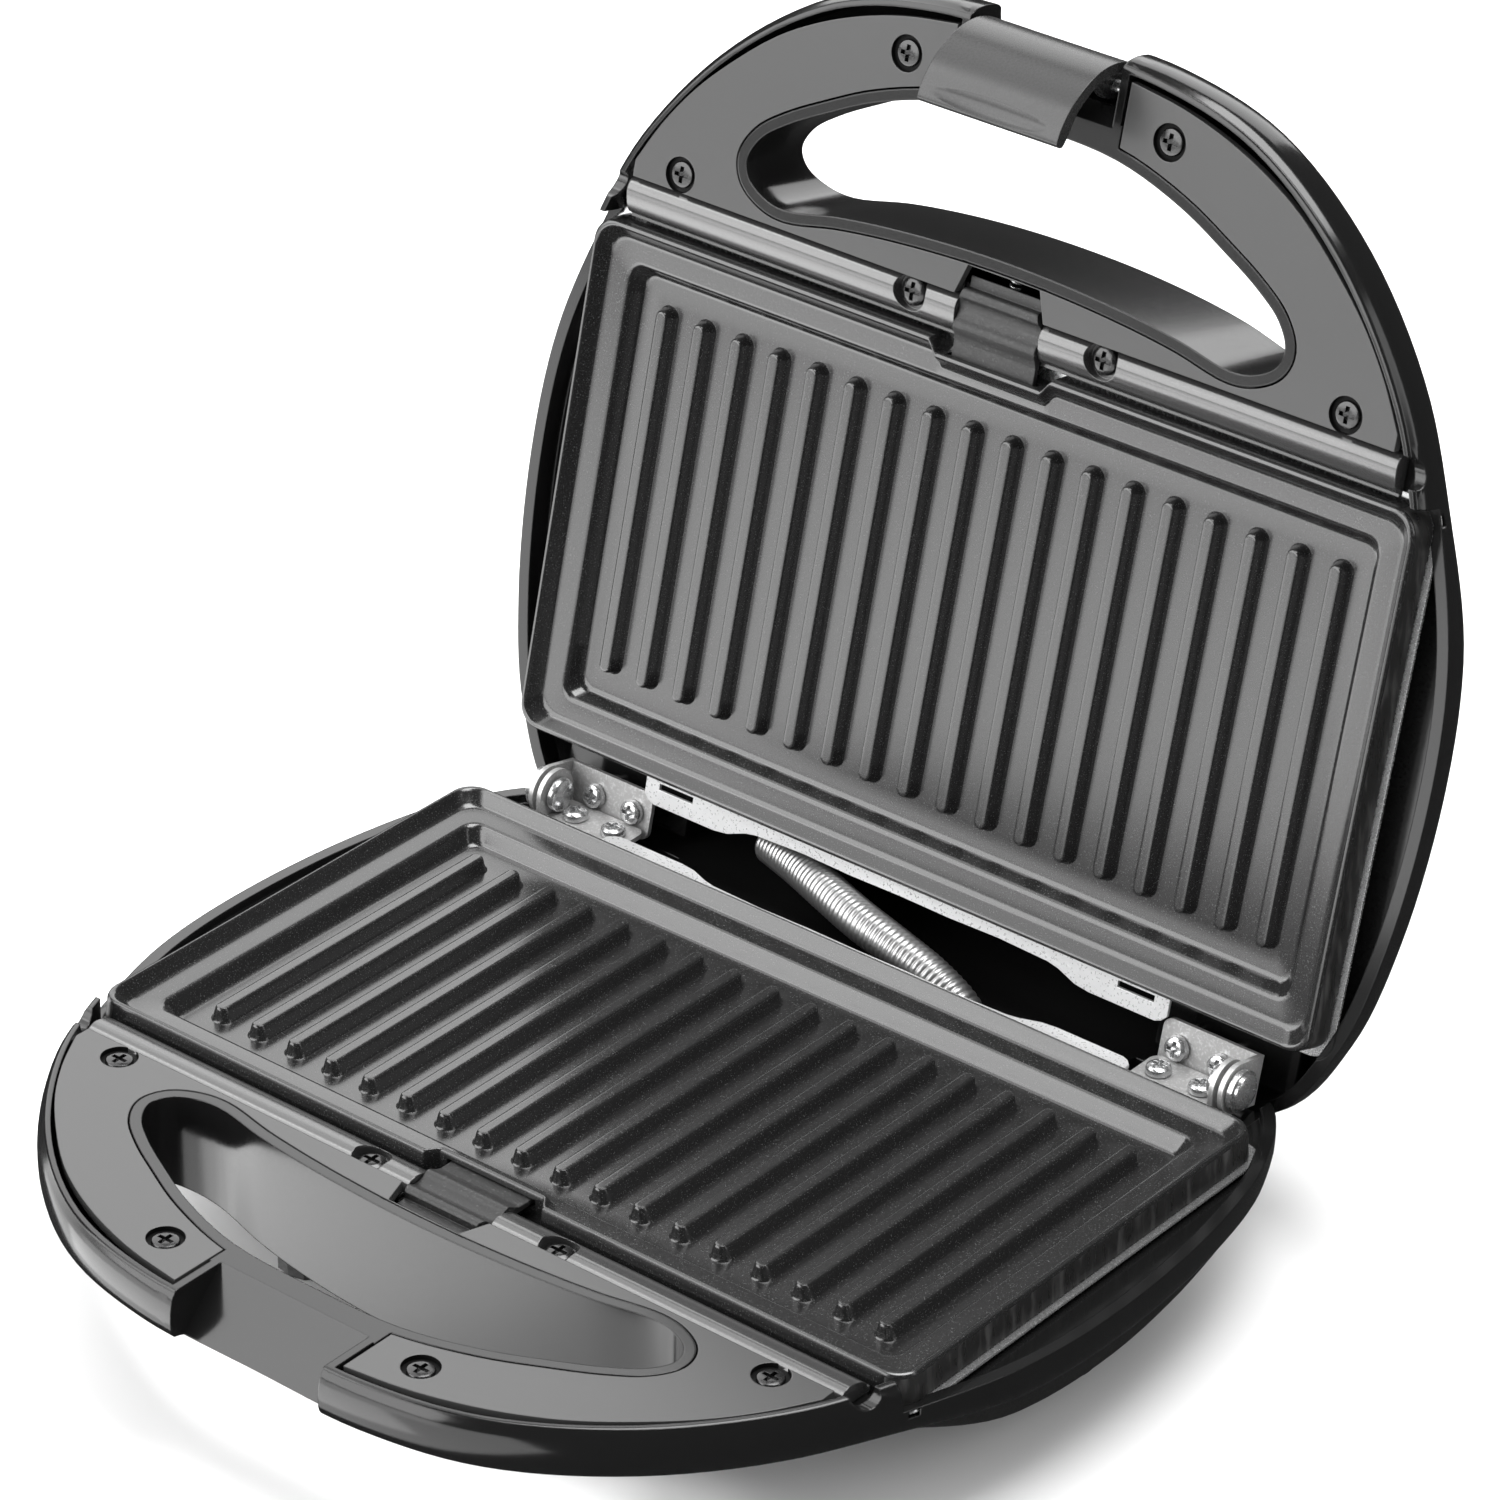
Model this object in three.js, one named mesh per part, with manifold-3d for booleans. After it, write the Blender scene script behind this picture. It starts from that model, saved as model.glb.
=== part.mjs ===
// Panini press with an opening lid, a coupled catch and two plate release clips.
// Units are millimetres. Each half is drawn in its own half frame: +X right, +Y towards the hinge,
// z = 0 on the parting plane and the half's material below it. The base is that half as drawn.
// The lid is the same half mirrored in the parting plane and turned open about the hinge.
import * as THREE from 'three';
import { mergeVertices } from 'three/addons/utils/BufferGeometryUtils.js';
import Module from 'manifold-3d';

const wasm = await Module();
wasm.setup();

// ---- Driving dimensions ----
const OPEN_ANGLE = THREE.MathUtils.degToRad(102.6);
const HINGE_Y = 119.7;
const HINGE_Z = -2.56;
const GAP = 0.3;
const RIM_Z = -0.3;
// How far a cutting tool reaches past the object.
const FAR = 300;
const ABOVE = 20;
const BELOW = -80;

const WALL = 2.6;
const RIM_WALL = 1.5;
const SHELL_DEPTH = 38;
const FRONT_WALL_DEPTH = 11.5;
const SIDE_WALL_DEPTH = 15;
const SIDE_RIM_Z = -7;
const HANDLE_BACK_Y = -18.4;
const RAIL_BED_BACK_Y = -19.8;
const COVER_FRONT_Y = -29;
const COVER_TOP_Z = -15;
const REAR_DROP_Y = 118;
const REAR_GAP_HALF = 104;
const BASE_REAR_TOP_Z = -17;
const FLOOR_Z = -42;

const PLATE = { halfX: 112.8, halfY: 62.6, y: 45.4, corner: 5.5 };
const PLATE_BOTTOM_Z = -7.4;
const JOG = { half: 14, foot: 17, depth: 3, fadeFrom: 3.9, fadeTo: 8.8 };
const RIB = { count: 18, pitch: 11, front: 0, back: 90.7, baseWidth: 5.8, topWidth: 2.8, height: 3.4 };

const PANEL_THICKNESS = 2.2;
const PANEL_BACK_Y = -28.9;
const PANEL_SCREWS = [[-91.1, -32.9], [-35.5, -77], [35.5, -77], [91.1, -32.9]];

const RAIL = { radius: 3.3, y: -25.3, z: -3.9, halfLength: 105.6 };
const RAIL_SCREWS_X = [-24.2, 28.2];
const CLIP_HALF_WIDTH = 11.2;
const CLIP_FRONT_HALF = 10;
const CLIP_TONGUE_Y = -13;

const NOTCH_HALF_WIDTH = 20.5;
const LATCH_PIVOT = { y: -83.5, z: -6.5 };
const LATCH_HALF_WIDTH = 18.8;
const LATCH_BORE = 1.8;

const SHEET = 0.8;
const BRACKET = { inner: 73.5, thick: 1.2, halfY: 6, screwHole: 1.9, pinHole: 2.6 };
const BRACKET_SCREWS_X = [78.5, 90];
const BASE_BRACKET_Z = -7;
const LID_BRACKET_Z = -5.2;
const BASE_EAR_X = 97;
const LID_EAR_X = 99.4;

const SHANK = 1.5;
const BORE = SHANK + GAP;
const BOSS = 3.6;
const PANEL_SCREW = { radius: 3.1, height: 0.8, length: 8 };
const RAIL_SCREW = { radius: 3.4, height: 1.8, length: 8 };
const HINGE_SCREW = { radius: 3, height: 2, length: 7 };
const SCREW_BOTTOM_Z = -10.6;

// ---- Materials ----
function material(color, roughness, metalness) {
  return () => new THREE.MeshStandardMaterial({ color, roughness, metalness });
}
const glossBlack = material(0x111214, 0.15, 0);
const satinGrey = material(0x6f7173, 0.35, 0);
const matteBlack = material(0x1b1c1d, 0.7, 0);
const nonStick = material(0x3a3b3c, 0.5, 0.3);
const brightSteel = material(0xc8c9ca, 0.25, 1);
const darkSteel = material(0x4c4c4e, 0.35, 1);
const shieldAluminium = material(0xd4d5d6, 0.3, 1);
const heaterSteel = material(0x5a4f48, 0.5, 0.8);
const ceramicWhite = material(0xe4e0d6, 0.6, 0);
const rubberBlack = material(0x161616, 0.9, 0);
const lensRed = material(0xb02018, 0.2, 0);
const lensGreen = material(0x2c9a3c, 0.2, 0);

// ---- Solids: joining and cutting ----
function toSolid(geometry) {
  const flat = geometry.index ? geometry.toNonIndexed() : geometry.clone();
  flat.deleteAttribute('normal');
  flat.deleteAttribute('uv');
  const merged = mergeVertices(flat, 1e-4);
  return new wasm.Manifold(new wasm.Mesh({
    numProp: 3,
    vertProperties: new Float32Array(merged.attributes.position.array),
    triVerts: new Uint32Array(merged.index.array),
  }));
}

function toGeometry(solid) {
  const mesh = solid.getMesh();
  const geometry = new THREE.BufferGeometry();
  geometry.setAttribute('position', new THREE.BufferAttribute(new Float32Array(mesh.vertProperties), 3));
  geometry.setIndex(new THREE.BufferAttribute(new Uint32Array(mesh.triVerts), 1));
  geometry.computeVertexNormals();
  return geometry;
}

function join(...solids) {
  return solids.reduce((whole, piece) => whole.add(piece));
}

function cut(solid, ...tools) {
  return tools.reduce((rest, tool) => rest.subtract(tool), solid);
}

function box(x0, x1, y0, y1, z0, z1) {
  const geometry = new THREE.BoxGeometry(x1 - x0, y1 - y0, z1 - z0);
  geometry.translate((x0 + x1) / 2, (y0 + y1) / 2, (z0 + z1) / 2);
  return toSolid(geometry);
}

// A flat outline in X and Y, extruded from z0 up to z1.
function prism(points, z0, z1) {
  const shape = new THREE.Shape(points.map(([x, y]) => new THREE.Vector2(x, y)));
  const geometry = new THREE.ExtrudeGeometry(shape, { depth: z1 - z0, bevelEnabled: false, steps: 1 });
  geometry.translate(0, 0, z0);
  return toSolid(geometry);
}

// A side profile in Y and Z, extruded from x0 to x1.
function sideProfile(points, x0, x1) {
  const shape = new THREE.Shape(points.map(([y, z]) => new THREE.Vector2(y, z)));
  const geometry = new THREE.ExtrudeGeometry(shape, { depth: x1 - x0, bevelEnabled: false, steps: 1 });
  const axes = new THREE.Matrix4().makeBasis(
    new THREE.Vector3(0, 1, 0), new THREE.Vector3(0, 0, 1), new THREE.Vector3(1, 0, 0));
  geometry.applyMatrix4(axes);
  geometry.translate(x0, 0, 0);
  return toSolid(geometry);
}

// Cylinders along each axis.
function post(x, y, z0, z1, radius, topRadius = radius, sides = 12) {
  const geometry = new THREE.CylinderGeometry(topRadius, radius, z1 - z0, sides);
  geometry.rotateX(Math.PI / 2);
  geometry.translate(x, y, (z0 + z1) / 2);
  return toSolid(geometry);
}

function pinX(x0, x1, y, z, radius, sides = 14) {
  const geometry = new THREE.CylinderGeometry(radius, radius, x1 - x0, sides);
  geometry.rotateZ(Math.PI / 2);
  geometry.translate((x0 + x1) / 2, y, z);
  return toSolid(geometry);
}

function pinY(x, y0, y1, z, radius, sides = 16) {
  const geometry = new THREE.CylinderGeometry(radius, radius, y1 - y0, sides);
  geometry.translate(x, (y0 + y1) / 2, z);
  return toSolid(geometry);
}

// Rings of equal length joined into one closed solid, each end closed by a fan.
function loft(rings) {
  const count = rings[0].length;
  const positions = [];
  const indices = [];
  rings.forEach((ring) => ring.forEach((p) => positions.push(p.x, p.y, p.z)));
  for (let k = 0; k + 1 < rings.length; k += 1) {
    for (let i = 0; i < count; i += 1) {
      const a = k * count + i;
      const b = k * count + ((i + 1) % count);
      indices.push(a, a + count, b, b, a + count, b + count);
    }
  }
  [0, rings.length - 1].forEach((k) => {
    const centre = rings[k].reduce((sum, p) => sum.add(p), new THREE.Vector3()).divideScalar(count);
    const hub = positions.length / 3;
    positions.push(centre.x, centre.y, centre.z);
    for (let i = 0; i < count; i += 1) {
      const a = k * count + i;
      const b = k * count + ((i + 1) % count);
      indices.push(...(k === 0 ? [hub, a, b] : [hub, b, a]));
    }
  });
  const geometry = new THREE.BufferGeometry();
  geometry.setAttribute('position', new THREE.BufferAttribute(new Float32Array(positions), 3));
  geometry.setIndex(indices);
  return toSolid(geometry);
}

// A round section carried along a smooth curve.
function tubeAlong(points, radius, steps, sides) {
  const section = new THREE.Shape();
  section.absarc(0, 0, radius, 0, 2 * Math.PI, false);
  const path = new THREE.CatmullRomCurve3(points.map((p) => new THREE.Vector3(...p)));
  const geometry = new THREE.ExtrudeGeometry(section, {
    steps, extrudePath: path, bevelEnabled: false, curveSegments: sides / 2,
  });
  return toSolid(geometry);
}

// ---- Outlines ----
// The right half of the housing's plan from front centre to rear centre, and the flat of its
// outer face below or above it, point for point.
const RIM_HALF = [
  [0, -90], [30, -89.7], [57, -83], [83, -65], [104, -38.5], [114.5, -13],
  [122.5, 15], [124.6, 45], [121.8, 80], [115.3, 106], [102.5, 125.4], [70, 129.2], [0, 129.2],
];
const FLAT_HALF = [
  [0, -14], [18, -13], [34, -9], [50, -2], [68, 10], [84, 24],
  [96, 38], [100, 52], [98, 76], [92, 95], [80, 106], [60, 110], [0, 110],
];
const SAMPLES_PER_POINT = 2;

function closedCurve(half) {
  const left = half.slice(1, -1).reverse().map(([x, y]) => [-x, y]);
  const points = [...half, ...left].map(([x, y]) => new THREE.Vector3(x, y, 0));
  return new THREE.CatmullRomCurve3(points, true, 'centripetal');
}
const rimCurve = closedCurve(RIM_HALF);
const flatCurve = closedCurve(FLAT_HALF);

// One ring of the housing: offset is measured outward from the rim, blend runs from the rim (0) to
// the flat (1), and depth(frontness) gives the depth at each point.
function housingRing(offset, blend, depth) {
  const count = 2 * (RIM_HALF.length - 1) * SAMPLES_PER_POINT;
  return Array.from({ length: count }, (_, i) => {
    const t = i / count;
    const tangent = rimCurve.getTangent(t);
    const rim = rimCurve.getPoint(t);
    const frontness = THREE.MathUtils.smoothstep(-rim.y, -15, 35);
    rim.addScaledVector(new THREE.Vector3(tangent.y, -tangent.x, 0), offset);
    const point = rim.lerp(flatCurve.getPoint(t), blend);
    point.z = -depth(frontness);
    return point;
  });
}

const DOME_BLENDS = [0.04, 0.18, 0.5, 1];
const BULGE = 1.6;

function wallDepth(frontness) {
  return THREE.MathUtils.lerp(SIDE_WALL_DEPTH, FRONT_WALL_DEPTH, frontness);
}

// The dome is nearly straight under the handle and well rounded at the sides and rear.
function domeDepth(frontness, blend) {
  const power = THREE.MathUtils.lerp(2.4, 1.05, frontness);
  return THREE.MathUtils.lerp(wallDepth(frontness), SHELL_DEPTH, 1 - (1 - blend) ** power);
}

function housingSolid(topZ) {
  const share = (part) => (frontness) => part * wallDepth(frontness);
  const wall = [[0, () => -topZ], [BULGE, share(0.45)], [BULGE, share(0.8)], [BULGE / 3, wallDepth]];
  const wallRings = wall.map(([bulge, depth]) => housingRing(bulge, 0, depth));
  const domeRings = DOME_BLENDS.map((blend) =>
    housingRing(0, blend, (frontness) => domeDepth(frontness, blend)));
  return loft([...wallRings, ...domeRings]);
}

// The hollow inside the housing, a wall's thickness in from its outer face.
function hollowSolid(topZ) {
  const wallDepths = [() => -topZ, (frontness) => wallDepth(frontness) - WALL];
  const wallRings = wallDepths.map((depth) => housingRing(-RIM_WALL, 0, depth));
  const domeRings = [0.18, 1].map((blend) =>
    housingRing(-WALL, blend, (frontness) => domeDepth(frontness, blend) - WALL));
  return loft([...wallRings, ...domeRings]);
}

// The hand hole, front edge from left to right and then the hinge-side edge back.
const HOLE_FRONT_HALF = [
  [0, -70.4], [23, -69.4], [41, -64.2], [54, -58], [64, -52.5], [70.5, -47.5], [73.4, -42],
];
const HOLE_BACK_HALF = [
  [72, -37.6], [67, -34.4], [61, -33.4], [47, -36], [33, -37.7], [16, -38.9], [0, -39.3],
];

function holeOutline(offset = 0) {
  const right = [...HOLE_FRONT_HALF, ...HOLE_BACK_HALF];
  const left = right.slice(1, -1).reverse().map(([x, y]) => [-x, y]);
  const points = [...right, ...left].map(([x, y]) => new THREE.Vector3(x, y, 0));
  const curve = new THREE.CatmullRomCurve3(points, true, 'centripetal');
  const count = 40;
  return Array.from({ length: count }, (_, i) => {
    const tangent = curve.getTangent(i / count);
    const point = curve.getPoint(i / count);
    return [point.x + tangent.y * offset, point.y - tangent.x * offset];
  });
}

// The horseshoe panel: outer edge, both ends at the notch, and the cut-out for the clip.
const PANEL_EDGE_HALF = [
  [23.4, -87], [37.5, -84.9], [50, -81.4], [61, -76.8], [71, -71], [82, -62], [91, -53],
  [98.5, -43], [104.3, -32.8], [104.3, PANEL_BACK_Y],
];
const PANEL_END = [23.4, -71.6];
const HOLE_RIM = 2.6;
const CLIP_CUT = { backHalf: 12.2, frontHalf: 9.8, frontY: -36 };

function panelOutline() {
  const mirror = (points) => points.slice().reverse().map(([x, y]) => [-x, y]);
  const clipSide = [[CLIP_CUT.backHalf, PANEL_BACK_Y], [CLIP_CUT.frontHalf, CLIP_CUT.frontY]];
  return [PANEL_END, ...PANEL_EDGE_HALF, ...clipSide, ...mirror(clipSide),
    ...mirror(PANEL_EDGE_HALF), [-PANEL_END[0], PANEL_END[1]],
    [-PANEL_END[0], -60], [PANEL_END[0], -60]];
}

// A rounded rectangle shared by the plate and its shield, pulled in by inset.
const CORNER_STEPS = 4;
function plateRing(inset, z) {
  const radius = Math.max(PLATE.corner - 0.2 * inset, 3.2);
  const halfX = PLATE.halfX - inset - radius;
  const halfY = PLATE.halfY - inset - radius;
  const corners = [[1, 1], [-1, 1], [-1, -1], [1, -1]];
  return corners.flatMap(([sx, sy], corner) => Array.from({ length: CORNER_STEPS + 1 }, (_, i) => {
    const angle = (corner + i / CORNER_STEPS) * (Math.PI / 2);
    return new THREE.Vector3(sx * halfX + radius * Math.cos(angle),
      PLATE.y + sy * halfY + radius * Math.sin(angle), z);
  }));
}

// ---- Pieces that both halves share ----
// The plate's ring steps inward at the front to make room for the clip.
function joggedRing(inset, z) {
  const ring = plateRing(inset, z);
  const frontY = PLATE.y - PLATE.halfY + inset;
  const fade = (JOG.fadeTo - inset) / (JOG.fadeTo - JOG.fadeFrom);
  const shift = JOG.depth * THREE.MathUtils.clamp(fade, 0, 1);
  const jog = [[-JOG.foot, 0], [-JOG.half, shift], [JOG.half, shift], [JOG.foot, 0]];
  const frontStart = 3 * (CORNER_STEPS + 1);
  ring.splice(frontStart, 0, ...jog.map(([x, back]) => new THREE.Vector3(x, frontY + back, z)));
  return ring;
}

function grillPlate() {
  const profile = [
    [11, -10.4], [10.4, -10], [8.2, -5.9], [2, -5.9], [1.4, PLATE_BOTTOM_Z], [-0.6, PLATE_BOTTOM_Z],
    [0, -0.9], [0.3, -0.4], [0.9, -0.4], [3.2, -3.4], [3.9, -3.8], [8.8, -3.9], [9.6, -4.4],
    [11.2, -7.8], [12.2, -8.2],
  ];
  const casting = loft(profile.map(([inset, z]) => joggedRing(inset, z)).reverse());
  const floorZ = profile.at(-1)[1];
  const ribs = Array.from({ length: RIB.count }, (_, i) => {
    const x = (i - (RIB.count - 1) / 2) * RIB.pitch;
    return rib(x, floorZ);
  });
  const slotHalf = CLIP_HALF_WIDTH + 4 * GAP;
  const front = PLATE.y - PLATE.halfY;
  const catchSlot = box(-slotHalf, slotHalf, front, CLIP_TONGUE_Y + GAP, -3.4 - 2 * GAP, -2.2 + GAP);
  return cut(join(casting, ...ribs), catchSlot);
}

function rib(x, floorZ) {
  const ringAt = (width, z, shrink) => {
    const steps = 3;
    const radius = width / 2;
    const ends = [[RIB.back - radius - shrink, 0], [RIB.front + radius + shrink, Math.PI]];
    return ends.flatMap(([y, start]) => Array.from({ length: steps + 1 }, (_, i) => {
      const angle = start + (i / steps) * Math.PI;
      return new THREE.Vector3(x + radius * Math.cos(angle), y + radius * Math.sin(angle), z);
    }));
  };
  return loft([ringAt(RIB.topWidth, floorZ + RIB.height, 1), ringAt(RIB.baseWidth, floorZ - 0.5, 0)]);
}

function heatShield() {
  const profile = [
    [8.4, -17], [7.8, -8.5], [-2.2, -8.5], [-2.2, -7.7], [8.6, -7.7], [9.2, -16.2],
  ];
  return loft(profile.map(([inset, z]) => plateRing(inset, z)).reverse());
}

function heatingElement() {
  const halfX = 82;
  const front = 10;
  const back = 80;
  const z = -13.2;
  const path = [
    [-halfX, back + 12, z], [-halfX, back, z], [-halfX, front + 14, z], [-halfX + 14, front, z],
    [0, front, z], [halfX - 14, front, z], [halfX, front + 14, z], [halfX, back, z], [halfX, back + 12, z],
  ];
  return tubeAlong(path, 2.4, 22, 6);
}

// The strip along the hinge side that holds the plate's rear edge: wide ends and a narrow middle.
function plateRetainer() {
  const near = PLATE.y + PLATE.halfY + 0.6;
  const half = [
    [75, near], [75, near + 4.6], [72, near + 6.6], [52, near + 6.6], [42, near + 3.6], [0, near + 3.2],
  ];
  const outline = [...half, ...half.slice(0, -1).reverse().map(([x, y]) => [-x, y])];
  const slots = [-66, 66].map((x) => box(x - 5, x + 5, near + 1, near + 2.6, -6, 0));
  return cut(prism(outline, -4.2, -4.2 + SHEET), ...slots);
}

// The half-round rail between handle and plate, with the clip's gap and counterbored screws.
function rail() {
  const bar = pinX(-RAIL.halfLength, RAIL.halfLength, RAIL.y, RAIL.z, RAIL.radius, 24);
  const skirt = box(-RAIL.halfLength, RAIL.halfLength, RAIL.y - RAIL.radius, -18.6, RAIL.z - 1.2, RAIL.z);
  const under = box(-FAR, FAR, -40, -10, BELOW, RAIL.z - 1.2);
  const clipGap = box(-CLIP_HALF_WIDTH - GAP, CLIP_HALF_WIDTH + GAP, -40, -10, RAIL.z, 5);
  const stem = box(-CLIP_HALF_WIDTH + 4.4, CLIP_HALF_WIDTH - 4.4, -34, -20.2, RAIL.z - 3, 5);
  const bores = RAIL_SCREWS_X.flatMap((x) => [
    post(x, RAIL.y, RAIL.z + 0.1, ABOVE, 4.4), post(x, RAIL.y, BELOW, ABOVE, BORE, BORE, 8)]);
  return cut(join(bar, skirt), under, clipGap, stem, ...bores);
}

// The release clip: a thumb saddle with a tongue that holds the plate's front edge.
function releaseClip() {
  const top = [
    [-33.2, -3.4], [-33.2, -2.8], [-30.6, -2.8], [-30.6, -1.2], [-29.8, -0.5], [-28.6, -0.5], [-27.6, -1.5],
    [-25.6, -2], [-23.6, -1.5], [-22.4, -0.6], [-21.2, -0.6], [-17.9, -2.2], [CLIP_TONGUE_Y, -2.2],
    [CLIP_TONGUE_Y, -3.4],
  ];
  const taper = [
    [CLIP_HALF_WIDTH, 0], [CLIP_HALF_WIDTH, -27.4], [CLIP_FRONT_HALF, -31], [CLIP_FRONT_HALF, -34],
  ];
  const leftTaper = taper.slice().reverse().map(([x, y]) => [-x, y]);
  const plan = prism([...leftTaper, ...taper].reverse(), -10, 10);
  const saddle = sideProfile(top.reverse(), -CLIP_HALF_WIDTH, CLIP_HALF_WIDTH).intersect(plan);
  const stem = box(-CLIP_HALF_WIDTH + 5, CLIP_HALF_WIDTH - 5, -29.6, -25, -7.4, -3.3);
  return join(saddle, stem);
}

function clipSpring() {
  const turns = 4;
  const coil = Array.from({ length: turns * 8 + 1 }, (_, i) => {
    const angle = (i / 8) * 2 * Math.PI;
    return [1.3 * Math.cos(angle), -35.4 + (i / (turns * 8)) * 5.1, -5.9 + 1.3 * Math.sin(angle)];
  });
  return tubeAlong(coil, 0.25, turns * 7, 4);
}

function crossHeadScrew(x, y, headZ, { radius, height, length }) {
  const head = post(x, y, headZ - height, headZ, radius, radius * 0.82);
  const shank = post(x, y, headZ - height - length, headZ - height + 0.2, SHANK, SHANK, 6);
  const reach = radius * 0.62;
  const half = 0.45;
  const floorZ = headZ - height * 0.6;
  const recess = join(
    box(x - reach, x + reach, y - half, y + half, floorZ, headZ + 1),
    box(x - half, x + half, y - reach, y + reach, floorZ, headZ + 1));
  return cut(join(head, shank), recess);
}

function handlePanel() {
  const plan = prism(panelOutline(), RIM_Z - PANEL_THICKNESS, RIM_Z);
  const hole = prism(holeOutline(HOLE_RIM + 0.4), -10, 5);
  const bridge = box(-PANEL_END[0], PANEL_END[0], -100, -71.6 + HOLE_RIM, -10, 5);
  const bores = PANEL_SCREWS.flatMap(([x, y]) => [
    post(x, y, RIM_Z - 1.1, ABOVE, 4.2), post(x, y, BELOW, ABOVE, BORE, BORE, 8)]);
  return cut(plan, hole, bridge, ...bores);
}

function bracket(side, plateZ, axisZ, earOuterX) {
  const x = (value) => side * value;
  const span = (a, b) => (side > 0 ? [x(a), x(b)] : [x(b), x(a)]);
  const [y0, y1] = [HINGE_Y - BRACKET.halfY, HINGE_Y + BRACKET.halfY];
  const plate = box(...span(BRACKET.inner, earOuterX), y0, y1, plateZ - BRACKET.thick, plateZ);
  const earX = span(earOuterX - BRACKET.thick, earOuterX);
  const ear = join(box(...earX, y0, y1, plateZ - BRACKET.thick, axisZ),
    pinX(...earX, HINGE_Y, axisZ, BRACKET.halfY, 24));
  const bores = BRACKET_SCREWS_X.map((place) =>
    post(x(place), HINGE_Y, plateZ - 5, plateZ + 5, BRACKET.screwHole));
  const pinHole = pinX(...span(earOuterX - 5, earOuterX + 5), HINGE_Y, axisZ, BRACKET.pinHole, 20);
  return cut(join(plate, ear), ...bores, pinHole);
}

// ---- Housings ----
const NOTCH_PROFILE = [[-120, 8], [-76, 8], [-76, RIM_Z], [-86.3, -10.8], [-120, -45]];
const NOTCH_BACKING = [[-120, 8], [-73.6, 8], [-73.6, RIM_Z], [-86.3, -13.4], [-118, -45]];

const PANEL_SEAT_Z = RIM_Z - PANEL_THICKNESS - GAP;
const RAIL_BED_Z = -5.4;

// The shell with its hand hole, notch, rail bed and bosses; the side walls stand lower than the handle.
function hollowHousing(outer) {
  const shell = outer.subtract(hollowSolid(6));
  const holeWall = prism(holeOutline(HOLE_RIM), BELOW, RIM_Z);
  const notchWall = sideProfile(NOTCH_BACKING, -NOTCH_HALF_WIDTH - 2, NOTCH_HALF_WIDTH + 2);
  const bridge = box(-23, 23, -77, -69, -3, RIM_Z);
  const crossWall = box(-FAR, FAR, COVER_FRONT_Y - 2.2, COVER_FRONT_Y - 0.2, BELOW, PANEL_SEAT_Z);
  const railHalf = RAIL.halfLength + GAP;
  const railBed = box(-railHalf - 3, railHalf + 3, COVER_FRONT_Y - 1, RAIL_BED_BACK_Y, -9, RAIL_BED_Z);
  const inside = [holeWall, notchWall, bridge, crossWall, railBed, ...handleBosses()];
  const body = join(shell, ...inside.map((solid) => solid.intersect(outer)));
  const sideCutter = box(-FAR, FAR, HANDLE_BACK_Y, FAR, SIDE_RIM_Z, ABOVE);
  const railTrough = box(-railHalf, railHalf, PANEL_BACK_Y, HANDLE_BACK_Y + 1, RAIL_BED_Z, ABOVE);
  const shieldRelief = loft([plateRing(-2.7, -7.1), plateRing(-2.7, -9)]);
  const plateRelief = loft([plateRing(-1, ABOVE), plateRing(-1, -8)]);
  const holeTool = prism(holeOutline(), BELOW, ABOVE);
  const wingDip = pinX(-FAR, FAR, RAIL.y - GAP, RIM_Z, RAIL.radius);
  const notchTool = sideProfile(NOTCH_PROFILE, -NOTCH_HALF_WIDTH, NOTCH_HALF_WIDTH);
  return cut(body, sideCutter, railTrough, shieldRelief, plateRelief, holeTool, notchTool, wingDip);
}

// Screw bosses under the panel and the rail.
function handleBosses() {
  const panel = PANEL_SCREWS.map(([x, y]) => post(x, y, BELOW, PANEL_SEAT_Z, BOSS, BOSS, 8));
  const railPosts = RAIL_SCREWS_X.map((x) => post(x, RAIL.y, -14.4, RAIL_BED_Z, BOSS, BOSS, 8));
  return [...panel, ...railPosts];
}

// The screws' bores, and the slot and seat of the clip.
function handleBores() {
  const panel = PANEL_SCREWS.map(([x, y]) => post(x, y, SCREW_BOTTOM_Z, ABOVE, BORE, BORE, 8));
  const railBores = RAIL_SCREWS_X.map((x) => post(x, RAIL.y, -14, ABOVE, BORE, BORE, 8));
  const clipSlot = box(-CLIP_HALF_WIDTH + 4.4, CLIP_HALF_WIDTH - 4.4, -36, -20.2, -8, 5);
  const clipSeat = box(-CLIP_HALF_WIDTH - GAP, CLIP_HALF_WIDTH + GAP, -36.6, -14, -3.8, 5);
  return [...panel, ...railBores, clipSlot, clipSeat];
}

// The shelf round the shield: a frame that joins the side walls, with hinge seats at the rear.
const SHELF_THICK = 2;
const SHELF_Z = [COVER_TOP_Z + 0.2, COVER_TOP_Z + 0.2 + SHELF_THICK];
function shelf(outer) {
  const plan = box(-FAR, FAR, COVER_FRONT_Y - 1, 111, ...SHELF_Z).intersect(outer);
  const opening = box(-106, 106, -9.9, 100.8, -30, 0);
  return plan.subtract(opening);
}

// A raised deck beside the plate that closes each side and rear corner of the base.
const DECK = { innerX: 108, cornerX: REAR_GAP_HALF, frontY: -19, topZ: -9.4 };
function sideDecks(outer) {
  return [-1, 1].flatMap((side) => {
    const strip = (inner, y0, y1) => {
      const span = side > 0 ? [inner, FAR] : [-FAR, -inner];
      return box(...span, y0, y1, SHELF_Z[0] + 2 * GAP, DECK.topZ).intersect(outer);
    };
    return [strip(DECK.innerX, DECK.frontY, 108), strip(DECK.cornerX, 106, FAR)];
  });
}

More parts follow.
